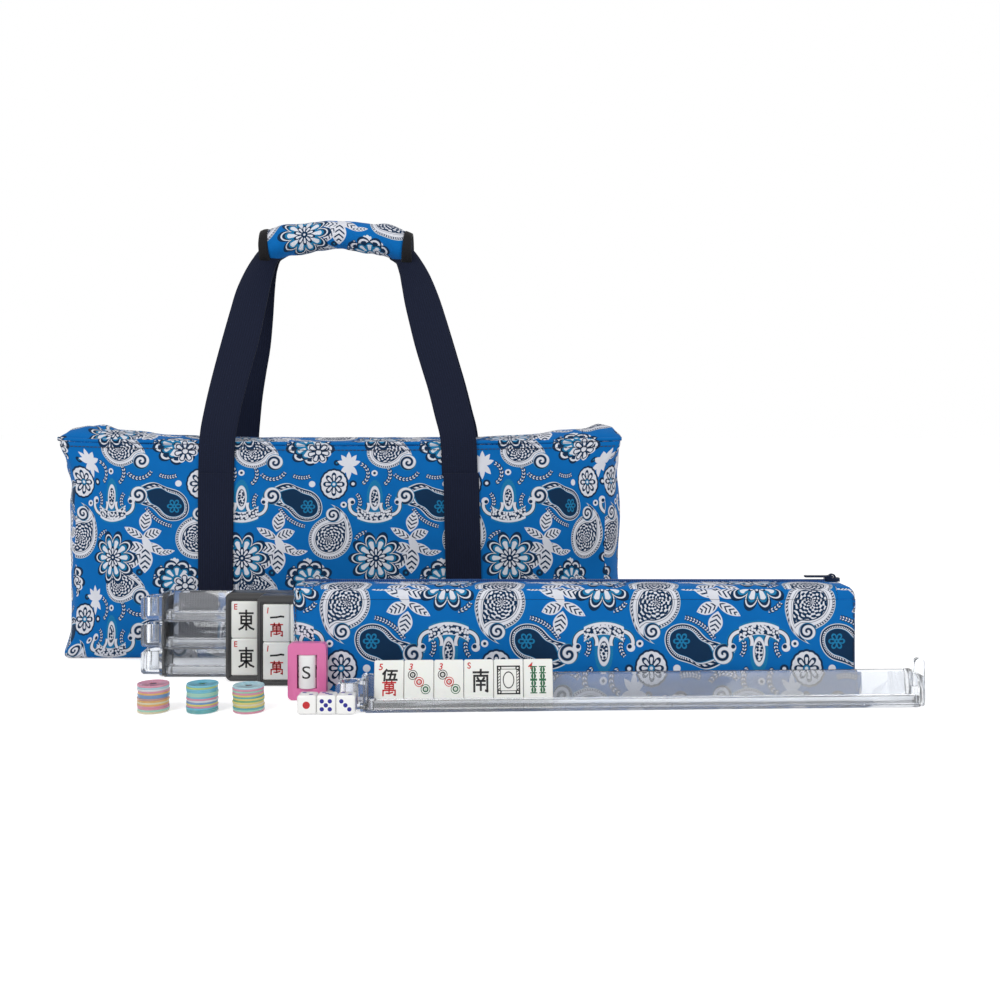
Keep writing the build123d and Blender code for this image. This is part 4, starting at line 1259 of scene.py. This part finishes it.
# %% [markdown]
# ## Racks, trays and the marker
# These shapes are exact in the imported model, so they are taken over from there. A real
# moulding has no sharp edge anywhere, so each copy gets a narrow round along its edges.


# %% Round the edges of the moulded pieces
def box_of(node):
    """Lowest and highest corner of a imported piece."""
    source = nodes[node]
    places = [source.matrix_world @ vertex.co for vertex in source.data.vertices]
    return (Vector([min(p[axis] for p in places) for axis in range(3)]),
            Vector([max(p[axis] for p in places) for axis in range(3)]))


def rounded_copy(node, width, material, slot, body, segments=2):
    """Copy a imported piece, clean its faces and round its edges."""
    source = nodes[node]
    piece = bpy.data.objects.new(f"{node}_moulded", source.data.copy())
    piece.data.transform(source.matrix_world)
    bpy.context.collection.objects.link(piece)
    activate(piece)
    bpy.ops.object.mode_set(mode="EDIT")
    bpy.ops.mesh.select_all(action="SELECT")
    bpy.ops.mesh.remove_doubles(threshold=0.00001)
    bpy.ops.mesh.dissolve_limited(angle_limit=math.radians(1))
    bpy.ops.mesh.normals_make_consistent(inside=False)
    bpy.ops.object.mode_set(mode="OBJECT")
    apply_modifier(piece, "BEVEL", width=width, segments=segments, limit_method="ANGLE",
                   angle_limit=math.radians(40), use_clamp_overlap=True)
    activate(piece)
    bpy.ops.object.shade_smooth_by_angle(angle=math.radians(35))
    dress(piece, material, slot, node)
    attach(piece, body)
    return piece

# %% Dress the moulded pieces
for number, body in ((1, "loose_tray_1"), (2, "loose_tray_2")):
    rounded_copy(f"tray_{number}", 0.0005, tray_plastic, "tray_black", body)
for number in (1, 2, 3):
    for part in ("shelf", "ends", "pusher"):
        rounded_copy(f"rack_{number}_{part}", 0.0003, acrylic, "clear_acrylic", f"stacked_rack_{number}")
for part, body in (("shelf", "front_rack"), ("ends", "front_rack"), ("block", "front_rack"),
                   ("peg", "front_rack"), ("pusher", "front_pusher")):
    rounded_copy(f"front_rack_{part}", 0.0003, acrylic, "clear_acrylic", body)
rounded_copy("marker_front", 0.0005, pink_plastic, "marker_pink", "marker")
rounded_copy("marker_back", 0.0005, pink_plastic, "marker_pink", "marker")
def paint_node(node, material):
    """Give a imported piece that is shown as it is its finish."""
    nodes[node].data.materials.clear()
    nodes[node].data.materials.append(material)


for node, material in (("base_board", board_card), ("zip_half_front", zip_cloth),
                       ("zip_half_back", zip_cloth), ("zip_slider", zip_metal), ("zip_pull", zip_metal),
                       ("slim_zip_coil", zip_cloth), ("slim_zip_slider", zip_metal),
                       ("slim_zip_pull", zip_metal), ("tray_3", tray_plastic), ("tray_4", tray_plastic),
                       ("front_rack_pin", pin_steel)):
    paint_node(node, material)
print("moulded pieces rounded")

# %% [markdown]
# ## Ink
# A tile is engraved and painted. Its figures are drawn as thin strokes, discs and letters
# that lie on the face, measured in millimetres from the face's upper left corner. The
# characters are written as strokes on a ten by ten grid.

# %% Draw with strokes, discs and letters
INK = 0.10  # millimetres above the face
CHARACTERS = {
    "east": (((1, 8.6), (9, 8.6)), ((5, 10), (5, 0)), ((2, 7), (8, 7)), ((2, 3.2), (8, 3.2)),
             ((2, 7), (2, 3.2)), ((8, 7), (8, 3.2)), ((2, 5.1), (8, 5.1)),
             ((5, 3.2), (2.6, 1.0), (0.8, 0.2)), ((5, 3.2), (7.4, 1.0), (9.4, 0.2))),
    "south": (((1, 8.8), (9, 8.8)), ((5, 10), (5, 7.4)),
              ((1.4, 0), (1.4, 7.2), (8.6, 7.2), (8.6, 0), (7.8, 0.3)), ((3.2, 6.2), (4, 5.2)),
              ((6.8, 6.2), (6, 5.2)), ((2.8, 4.8), (7.2, 4.8)), ((2.8, 3), (7.2, 3)),
              ((5, 4.8), (5, 0.6))),
    "west": (((0.6, 9), (9.4, 9)), ((3.8, 9), (3.6, 5.8), (2.4, 4.2)),
             ((6.2, 9), (6.2, 5.0), (8, 4.8)),
             ((1.2, 6.8), (8.8, 6.8), (8.8, 0.4), (1.2, 0.4), (1.2, 6.8))),
    "north": (((3.4, 10), (3.4, 0)), ((0.6, 7), (3.4, 7)), ((0.6, 1.4), (3.4, 3)),
              ((6.2, 10), (6.2, 0.6), (9.4, 0.6), (9.4, 2)), ((9.2, 7.6), (6.2, 5.6))),
    "one": (((0.6, 4.4), (4.6, 4.9), (7.6, 5.9), (9.4, 5.5)),),
    "two": (((2, 8), (8, 8.2)), ((0.6, 2), (9.4, 2.2))),
    "three": (((1.4, 8.8), (8.6, 9)), ((2.2, 5), (7.8, 5.2)), ((0.4, 1), (9.6, 1.2))),
    "five": (((2.6, 10), (0.6, 6.2)), ((1.8, 7.8), (1.8, 0)), ((3.6, 9), (9.4, 9)),
             ((6.2, 9), (5.2, 0.8)), ((4, 5.6), (8.6, 5.6), (8, 0.8)), ((3.2, 0.6), (9.8, 0.6))),
    "myriad": (((1, 9), (9, 9)), ((3.4, 10), (3.4, 8.2)), ((6.6, 10), (6.6, 8.2)),
               ((2.4, 7.8), (7.6, 7.8)), ((2.4, 6.3), (7.6, 6.3)), ((2.4, 4.8), (7.6, 4.8)),
               ((2.4, 7.8), (2.4, 4.8)), ((7.6, 7.8), (7.6, 4.8)), ((5, 7.8), (5, 1.4)),
               ((1.2, 0), (1.2, 3.6), (8.8, 3.6), (8.8, 0.2), (8, 0.6)),
               ((3.2, 1.6), (5, 1.4), (7.2, 2.2))),
}


def letter_mesh(letter, lean=0.0, weight=0.018):
    """A letter one unit high, its lower left corner at the origin."""
    bpy.ops.object.text_add()
    text = bpy.context.object
    text.data.body, text.data.shear, text.data.extrude = letter, lean, 0.5
    text.data.resolution_u = 5
    text.data.offset = weight
    bpy.ops.object.convert(target="MESH")
    mesh = text.data.copy()
    bpy.data.objects.remove(text)
    xs, ys = [v.co.x for v in mesh.vertices], [v.co.y for v in mesh.vertices]
    tall = max(ys) - min(ys)
    mesh.transform(Matrix.Diagonal((1 / tall, 1 / tall, 1, 1)) @ Matrix.Translation((-min(xs), -min(ys), 0)))
    return mesh


LETTERS = {}

# %% Keep the ink of one body
class Drawing:
    """The ink of one body: one mesh for each colour."""

    def __init__(self):
        self.inks = {}

    def add(self, colour, part, matrix):
        whole = self.inks.setdefault(colour, bmesh.new())
        part.transform(matrix)
        scratch = bpy.data.meshes.new("stroke")
        part.to_mesh(scratch)
        part.free()
        whole.from_mesh(scratch)
        bpy.data.meshes.remove(scratch)

    def stroke(self, colour, face, points, width, level=0):
        for start, end in zip(points, points[1:]):
            start, end = Vector((*start, 0)), Vector((*end, 0))
            run = end - start
            bar = bmesh.new()
            bmesh.ops.create_cube(bar, size=1.0)
            turn = Matrix.Rotation(math.atan2(run.y, run.x), 4, "Z")
            size = Matrix.Diagonal((run.length + width * 0.9, width, INK * (1 + level), 1))
            self.add(colour, bar, face @ Matrix.Translation((start + end) / 2) @ turn @ size)

    def disc(self, colour, face, x, y, radius, level=0, sides=28, stretch=1.0):
        disc = bmesh.new()
        bmesh.ops.create_cone(disc, cap_ends=True, segments=sides, radius1=radius, radius2=radius,
                              depth=INK * (1 + level))
        self.add(colour, disc, face @ Matrix.Translation((x, y, 0)) @ Matrix.Diagonal((1, stretch, 1, 1)))

    def letter(self, colour, face, letter, left, top, height, wide=1.0, lean=0.0):
        if (letter, lean) not in LETTERS:
            LETTERS[letter, lean] = letter_mesh(letter, lean)
        part = bmesh.new()
        part.from_mesh(LETTERS[letter, lean])
        size = Matrix.Diagonal((height * wide, height, INK, 1))
        self.add(colour, part, face @ Matrix.Translation((left, top - height, 0)) @ size)

    def character(self, colour, face, name, left, top, wide, high, width, lean=0.0):
        for line in CHARACTERS[name]:
            points = [(left + (x + y * lean) * wide / 10, top - high + y * high / 10) for x, y in line]
            self.stroke(colour, face, points, width)

    def finish(self, prefix, body, slot):
        for colour, whole in self.inks.items():
            data = bpy.data.meshes.new(f"{prefix}_{colour}")
            whole.to_mesh(data)
            whole.free()
            piece = bpy.data.objects.new(data.name, data)
            bpy.context.collection.objects.link(piece)
            dress(piece, INKS[colour], slot)
            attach(piece, body)


FACE = Matrix(((1, 0, 0, 0), (0, 0, -1, 0), (0, 1, 0, 0), (0, 0, 0, 1))) @ Matrix.Scale(0.001, 4)
print("characters:", len(CHARACTERS))


# %% Draw the figures of the tiles
def wind(drawing, face, letter, name):
    drawing.letter("red", face, letter, 2.6, -2.2, 4.7, wide=0.95)
    drawing.character("black", face, name, 5.8, -7.7, 13.5, 15.7, 1.6)


def myriad(drawing, face, number, name, high=7.7, drop=7.2):
    drawing.letter("red", face, str(number), 3.4, -2.6, 4.8, lean=0.12)
    drawing.character("black", face, name, 5.6, -drop, 11.4, high, 1.5, lean=0.06)
    drawing.character("red", face, "myriad", 5.4, -15.4, 11.8, 10.4, 1.1)


def circles(drawing, face, number, spots, radius):
    drawing.letter("red", face, str(number), 3.4, -2.6, 4.8, lean=0.2)
    for colour, x, y in spots:
        rings = ((1.0, colour), (0.84, "white"), (0.62, colour), (0.34, "white"))
        for level, (share, shade) in enumerate(rings):
            drawing.disc(shade, face, x, y, radius * share, level * 0.5)
        for step in range(4):
            angle = math.radians(45 * step + 20)
            reach = (0.36 * radius * math.cos(angle), 0.36 * radius * math.sin(angle))
            drawing.stroke(colour, face, ((x - reach[0], y - reach[1]), (x + reach[0], y + reach[1])),
                           0.3, 1.5)


def bamboo(drawing, face, number, spots):
    drawing.letter("red", face, str(number), 3.4, -2.6, 4.8, lean=0.2)
    for colour, x, y in spots:
        for part in (-2.35, 2.35):
            drawing.disc(colour, face, x, y + part, 1.9, sides=12, stretch=1.15)
            drawing.stroke("white", face, ((x, y + part - 1.5), (x, y + part + 1.5)), 0.45, 0.6)
        for mark in (-4.6, 0, 4.6):
            drawing.stroke(colour, face, ((x - 2.2, y + mark), (x + 2.2, y + mark)), 0.8, 0.3)


def blank_frame(drawing, face):
    drawing.stroke("black", face, ((2.8, -5.3), (19.2, -5.3), (19.2, -25.3), (2.8, -25.3), (2.8, -5.3)), 1.0)
    drawing.stroke("black", face, ((4.9, -7.4), (17.1, -7.4), (17.1, -23.2), (4.9, -23.2), (4.9, -7.4)), 0.45)
    for x in (4.1, 17.9):
        for y in (-6.6, -24.0):
            drawing.disc("black", face, x, y, 1.7)
            drawing.disc("white", face, x, y, 0.7, 0.6)
    for step in range(7):
        y = -8.8 - step * 2.15
        for x in (3.85, 18.15):
            drawing.stroke("black", face, ((x - 0.8, y - 0.6), (x + 0.8, y + 0.6)), 0.5)
    drawing.disc("black", face, 11, -15.3, 4.3, 0, 36, 1.45)
    drawing.disc("white", face, 11, -15.3, 3.6, 0.6, 36, 1.5)

# %% List the figures
DIAGONAL = (("black", 6.4, -11), ("red", 11.2, -16.2), ("green", 16, -21.5))
PAIRS = (("green", 7.5, -10.3), ("green", 14.2, -10.3), ("green", 7.5, -20.3), ("green", 14.2, -20.3))
FIGURES = {
    "east": lambda d, f: wind(d, f, "E", "east"), "south": lambda d, f: wind(d, f, "S", "south"),
    "west": lambda d, f: wind(d, f, "W", "west"), "north": lambda d, f: wind(d, f, "N", "north"),
    "one": lambda d, f: myriad(d, f, 1, "one", 6.0, 7.4), "two": lambda d, f: myriad(d, f, 2, "two"),
    "three": lambda d, f: myriad(d, f, 3, "three"), "five": lambda d, f: myriad(d, f, 5, "five"),
    "three_circles": lambda d, f: circles(d, f, 3, DIAGONAL, 3.6),
    "four_circles": lambda d, f: circles(d, f, 4, (("black", 7, -11), ("green", 15, -11), ("green", 7, -21),
                                                   ("black", 15, -21)), 3.3),
    "two_bamboo": lambda d, f: bamboo(d, f, 2, (("green", 11, -10.3), ("black", 11, -20.8))),
    "four_bamboo": lambda d, f: bamboo(d, f, 4, PAIRS), "frame": blank_frame,
}
print("figures:", len(FIGURES))

# %% [markdown]
# ## Tiles
# One tile is modelled from a block with rounded edges. It is copied into both rows of a
# tray and onto the front rack, and each group becomes one piece.

# %% Model a tile and fill the trays and the rack
TILE_SIZE = Vector((0.022, 0.013, 0.0306))
bpy.ops.mesh.primitive_cube_add(size=1, location=(0, 0, 0), scale=TILE_SIZE)
first_tile = bpy.context.object
first_tile.name = "tile"
bpy.ops.object.transform_apply(scale=True)
first_tile.data.transform(Matrix.Translation(TILE_SIZE / 2))
apply_modifier(first_tile, "BEVEL", width=0.0013, segments=4, limit_method="NONE")
first_tile.data.shade_smooth()


def lay_tiles(name, places, body, node):
    """Copy the tile to every place and join the copies into one piece."""
    copies = []
    for place in places:
        copy = bpy.data.objects.new(name, first_tile.data.copy())
        copy.data.transform(place)
        bpy.context.collection.objects.link(copy)
        copies.append(copy)
    bpy.ops.object.select_all(action="DESELECT")
    for copy in copies:
        copy.select_set(True)
    bpy.context.view_layer.objects.active = copies[0]
    if len(copies) > 1:
        bpy.ops.object.join()
    dress(copies[0], tile_resin, "tile_ivory", node)
    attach(copies[0], body)


def corner(place):
    """The matrix that draws on a tile's face from its upper left corner."""
    return place @ Matrix.Translation((0, 0, TILE_SIZE.z)) @ FACE

# %% Fill the two loose trays
def tray_places(left, front):
    return [Matrix.Translation((left + 0.0044 + 0.0222 * column, front + 0.0005, 0.0044 + 0.0308 * row))
            for column in range(19) for row in (1, 0)]


ORDER_1 = ("east", "east", "south", "south", "west", "west", "north", "north", "frame", "frame",
           "four_circles", "four_circles", "three_circles", "three_circles", "two", "three", "five",
           "one", "one")
ORDER_2 = ("one", "one", "two", "two", "three", "three", "five", "five", "two_bamboo", "two_bamboo",
           "four_bamboo", "four_bamboo", "three_circles", "four_circles", "east", "south", "west",
           "north", "frame")
for name, left, front, body, order in (("tray_1_tiles", -0.081, -0.1354, "loose_tray_1", ORDER_1),
                                       ("tray_2_tiles", -0.0514, -0.1515, "loose_tray_2", ORDER_2)):
    places = tray_places(left, front)
    lay_tiles(f"{name}_cut", places, body, name)
    drawing = Drawing()
    for index, place in enumerate(places):
        FIGURES[order[index // 2]](drawing, corner(place))
    drawing.finish(f"{name}_ink", body, "tile_ivory")
for node in ("tray_3_tiles", "tray_4_tiles"):
    paint_node(node, tile_resin)

# %% Stand six tiles on the front rack
LEAN = math.radians(14)
rack_place = Matrix.Translation((0.0427, -0.238, 0)) @ Matrix.Rotation(math.radians(2.4), 4, "Z")
on_rack = [rack_place @ Matrix.Translation((0.0092 + 0.0223 * i, 0.011, 0.00195 + 0.013 * math.sin(LEAN)))
           @ Matrix.Rotation(-LEAN, 4, "X") for i in range(6)]
lay_tiles("rack_tiles_cut", on_rack, "tiles_on_rack", "rack_tiles")
drawing = Drawing()
RACK_ORDER = ("five", "three_circles", "three_circles", "south", "frame", "four_bamboo")
for place, figure in zip(on_rack, RACK_ORDER):
    FIGURES[figure](drawing, corner(place))
drawing.finish("rack_tiles_ink", "tiles_on_rack", "tile_ivory")
bpy.data.objects.remove(first_tile)
print("tiles laid")

# %% [markdown]
# ## Marker drum, dice and chips
# The marker's drum turns behind its window and carries the four winds. Dice are rounded
# cubes with inlaid pips. A chip is turned from one profile: a rim, a shallow well and a
# ring round the hole; every chip in a stack has its own tint.

# %% Turn the drum and wrap its letters round it
drum_low, drum_high = box_of("marker_drum")
drum_middle = (drum_low + drum_high) / 2
DRUM_RADIUS = 0.0071
DRUM_HIGH = 0.0252
for name, radius, depth, rise in (("drum_turned", DRUM_RADIUS, DRUM_HIGH, 0),
                                  ("drum_pin_upper", 0.0014, 0.0028, DRUM_HIGH / 2 + 0.0013),
                                  ("drum_pin_lower", 0.0014, 0.0028, -DRUM_HIGH / 2 - 0.0013)):
    bpy.ops.mesh.primitive_cylinder_add(vertices=64, radius=radius, depth=depth,
                                        location=drum_middle + Vector((0, 0, rise)))
    drum = bpy.context.object
    drum.name = name
    bpy.ops.object.transform_apply(location=True)
    apply_modifier(drum, "BEVEL", width=0.0004, segments=3, limit_method="ANGLE",
                   angle_limit=math.radians(60))
    activate(drum)
    bpy.ops.object.shade_smooth_by_angle(angle=math.radians(35))
    dress(drum, white_plastic, "marker_white", "marker_drum")
    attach(drum, "drum")

# %% Wrap the wind letters round the drum
letters = bmesh.new()
for turn, letter in enumerate("SNWE"):
    flat = bmesh.new()
    flat.from_mesh(letter_mesh(letter, weight=0.0))
    wide = max(v.co.x for v in flat.verts)
    bmesh.ops.transform(flat, verts=flat.verts, matrix=Matrix.Diagonal((0.0064 / wide, 0.0096, 0.0002, 1))
                        @ Matrix.Translation((-wide / 2, -0.5, 0)))
    for cut in range(-6, 7):
        bmesh.ops.bisect_plane(flat, geom=flat.verts[:] + flat.edges[:] + flat.faces[:], dist=1e-7,
                               plane_co=(cut * 0.0005, 0, 0), plane_no=(1, 0, 0))
    for vertex in flat.verts:
        angle, reach = vertex.co.x / DRUM_RADIUS + turn * TURN / 4, DRUM_RADIUS + vertex.co.z
        vertex.co = drum_middle + Vector((math.sin(angle) * reach, -math.cos(angle) * reach, vertex.co.y))
    scratch = bpy.data.meshes.new("letter")
    flat.to_mesh(scratch)
    flat.free()
    letters.from_mesh(scratch)
    bpy.data.meshes.remove(scratch)
data = bpy.data.meshes.new("drum_letters")
letters.to_mesh(data)
letters.free()
drum_letters = bpy.data.objects.new("drum_letters", data)
bpy.context.collection.objects.link(drum_letters)
dress(drum_letters, ink_black, "marker_white")
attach(drum_letters, "drum")
print("drum radius", round(DRUM_RADIUS, 4))

# %% Round the dice and set their pips
SPOTS = {1: ((0, 0),), 2: ((-1, 1), (1, -1)), 3: ((-1, 1), (0, 0), (1, -1)),
         4: ((-1, 1), (1, 1), (-1, -1), (1, -1)), 5: ((-1, 1), (1, 1), (0, 0), (-1, -1), (1, -1)),
         6: ((-1, 1), (1, 1), (-1, 0), (1, 0), (-1, -1), (1, -1))}
PIP_STEP, PIP_RADIUS, LONE_PIP_RADIUS = 2.9, 1.6, 2.7  # millimetres
# Degrees about X and Z that turn the top into the front, top, right, back, left and underside
SIDES = ((90, 0), (0, 0), (90, 90), (90, 180), (90, -90), (180, 0))
for number, (body, values) in enumerate((("die_one", (1, 2, 3, 6, 4, 5)), ("die_two", (5, 3, 6, 2, 1, 4)),
                                         ("die_three", (3, 2, 6, 4, 1, 5))), 1):
    low, high = box_of(f"die_{number}")
    bpy.ops.mesh.primitive_cube_add(size=high.x - low.x, location=(low + high) / 2)
    die = bpy.context.object
    die.name = f"die_{number}_rounded"
    bpy.ops.object.transform_apply(location=True)
    apply_modifier(die, "BEVEL", width=0.0019, segments=5, limit_method="NONE")
    die.data.shade_smooth()
    dress(die, dice_resin, "dice_white", f"die_{number}")
    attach(die, body)
    drawing = Drawing()
    half = (high.x - low.x) / 2
    for (turn_x, turn_z), value in zip(SIDES, values):
        colour, radius = ("red", LONE_PIP_RADIUS) if value == 1 else ("blue", PIP_RADIUS)
        side = (Matrix.Translation((low + high) / 2) @ Matrix.Rotation(math.radians(turn_z), 4, "Z")
                @ Matrix.Rotation(math.radians(turn_x), 4, "X") @ Matrix.Translation((0, 0, half))
                @ Matrix.Scale(0.001, 4))
        for across, up in SPOTS[value]:
            drawing.disc(colour, side, across * PIP_STEP, up * PIP_STEP, radius)
    drawing.finish(f"die_{number}_pips", body, "dice_white")
print("dice set")

# %% Turn a chip and stack it
CHIP_PROFILE = (  # radius and height in millimetres, once round the section
    (3.0, 0.35), (5.2, 0.35), (5.6, 0.15), (10.2, 0.15), (10.6, 0), (11.3, 0), (11.5, 0.25),
    (11.5, 1.1), (11.3, 1.35), (10.6, 1.35), (10.2, 1.2), (5.6, 1.2), (5.2, 1.0), (3.0, 1.0))
CHIP_HIGH = 0.00135
profile = bpy.data.meshes.new("chip")
profile.from_pydata([(r / 1000, 0, z / 1000) for r, z in CHIP_PROFILE],
                    [(i, (i + 1) % len(CHIP_PROFILE)) for i in range(len(CHIP_PROFILE))], [])
chip = bpy.data.objects.new("chip", profile)
bpy.context.collection.objects.link(chip)
apply_modifier(chip, "SCREW", angle=TURN, steps=44, render_steps=44, axis="Z", use_merge_vertices=True,
               merge_threshold=0.00001)
activate(chip)
bpy.ops.object.mode_set(mode="EDIT")
bpy.ops.mesh.select_all(action="SELECT")
bpy.ops.mesh.normals_make_consistent(inside=False)
bpy.ops.object.mode_set(mode="OBJECT")
bpy.ops.object.shade_smooth_by_angle(angle=math.radians(30))

# %% Tint the chips
chip_plastic, tree, shader = new_material("chip_plastic", Roughness=0.2, Transmission_Weight=0.25, IOR=1.46,
                                          Subsurface_Weight=0.15)
tint = add_node(tree, "ShaderNodeAttribute", settings={"attribute_name": "tint"})
haze = add_node(tree, "ShaderNodeTexNoise", Vector=add_node(tree, "ShaderNodeTexCoord", 3), Scale=120.0)
colour = mix(tree, haze * 0.25, tint, (1, 1, 1, 1))
tree.links.new(colour.socket, shader.inputs["Base Color"])
TINTS = {"pink": rgb(238, 140, 168), "pale cyan": rgb(176, 224, 236), "white": rgb(236, 236, 240),
         "orange": rgb(248, 178, 70), "blue": rgb(96, 150, 208), "brown": rgb(206, 140, 130),
         "cream": rgb(240, 226, 180), "mint": rgb(168, 226, 200), "teal": rgb(70, 176, 180),
         "yellow": rgb(244, 222, 96), "green": rgb(96, 182, 120), "cyan": rgb(96, 200, 226),
         "lime": rgb(190, 220, 110)}
STACKS = (  # body and the tints of its chips, from the top down
    ("chips_one", ("pink", "pale cyan", "white", "pink", "orange", "blue", "blue", "brown", "orange",
                   "cream", "orange", "pink", "pink", "mint", "cream", "teal", "yellow", "green")),
    ("chips_two", ("cyan", "lime", "cyan", "cyan", "mint", "mint", "cyan", "pink", "white", "blue",
                   "yellow", "pink", "cyan", "teal", "teal")),
    ("chips_three", ("pale cyan", "pink", "mint", "pink", "yellow", "teal", "yellow", "green",
                     "yellow", "cream", "yellow", "teal", "mint", "pink", "white", "blue")))

# %% Stack the chips
shuffle = random.Random(7)
for number, (body, tints) in enumerate(STACKS, 1):
    low, high = box_of(f"chip_stack_{number}")
    middle = (low + high) / 2
    count = round((high.z - low.z) / CHIP_HIGH)
    pile = []
    for index in range(count):
        copy = bpy.data.objects.new(f"chip_stack_{number}_turned", chip.data.copy())
        drift = Vector((shuffle.uniform(-0.00035, 0.00035), shuffle.uniform(-0.0003, 0.0003), 0))
        seat = Vector((middle.x, middle.y, low.z + index * CHIP_HIGH)) + drift
        copy.data.transform(Matrix.Translation(seat))
        shades = copy.data.color_attributes.new("tint", "FLOAT_COLOR", "POINT")
        shade = TINTS[tints[(count - 1 - index) % len(tints)]]
        for item in shades.data:
            item.color = shade
        bpy.context.collection.objects.link(copy)
        pile.append(copy)
    bpy.ops.object.select_all(action="DESELECT")
    for copy in pile:
        copy.select_set(True)
    bpy.context.view_layer.objects.active = pile[0]
    bpy.ops.object.join()
    dress(pile[0], chip_plastic, "chips", f"chip_stack_{number}")
    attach(pile[0], body)
bpy.data.objects.remove(chip)
print("chips stacked")


# %% [markdown]
# ## Floor, light and the white surround

# %% Light the set
FLOOR_SIZE = 60.0
bpy.ops.mesh.primitive_plane_add(size=FLOOR_SIZE, location=(0, 0, -0.0005))
floor = bpy.context.object
floor.name = "floor"
bpy.ops.object.transform_apply(location=True)
floor_paint, floor_tree, floor_shader = new_material("white_floor", Roughness=0.9,
                                                     Specular_IOR_Level=0.05)
floor_shader.inputs["Base Color"].default_value = (0.9, 0.9, 0.9, 1)
path = floor_tree.nodes.new("ShaderNodeLightPath")
seen = Wire(floor_tree, path.outputs["Is Camera Ray"]).does(
    "MAXIMUM", Wire(floor_tree, path.outputs["Is Glossy Ray"])).does(
    "MAXIMUM", Wire(floor_tree, path.outputs["Is Transmission Ray"]))
feed(floor_tree, floor_shader.inputs["Emission Strength"], seen * 0.5)
floor_shader.inputs["Emission Color"].default_value = (1, 1, 1, 1)
floor.data.materials.append(floor_paint)

# %% Make the white room
world = bpy.data.worlds.new("white_room")
bpy.context.scene.world = world
world.use_nodes = True
room = world.node_tree
background = room.nodes["Background"]
background.inputs["Color"].default_value = (1, 1, 1, 1)
path = room.nodes.new("ShaderNodeLightPath")
seen = Wire(room, path.outputs["Is Camera Ray"]).does(
    "MAXIMUM", Wire(room, path.outputs["Is Glossy Ray"])).does(
    "MAXIMUM", Wire(room, path.outputs["Is Transmission Ray"]))
feed(room, background.inputs["Strength"], seen * 0.45 + 0.55)

# %% Hang two soft lights
def soft_light(name, place, target, size, power):
    data = bpy.data.lights.new(name, "AREA")
    data.shape, data.size, data.energy = "DISK", size, power
    lamp = bpy.data.objects.new(name, data)
    lamp.location = place
    lamp.rotation_euler = (Vector(target) - Vector(place)).to_track_quat("-Z", "Y").to_euler()
    bpy.context.collection.objects.link(lamp)


soft_light("key", (-0.9, -1.5, 1.5), (0, 0, 0.15), 0.9, 17)
soft_light("fill", (1.4, -1.3, 0.9), (0.1, 0, 0.1), 1.1, 9)
bpy.context.scene.view_settings.view_transform = "Standard"
print("lit")
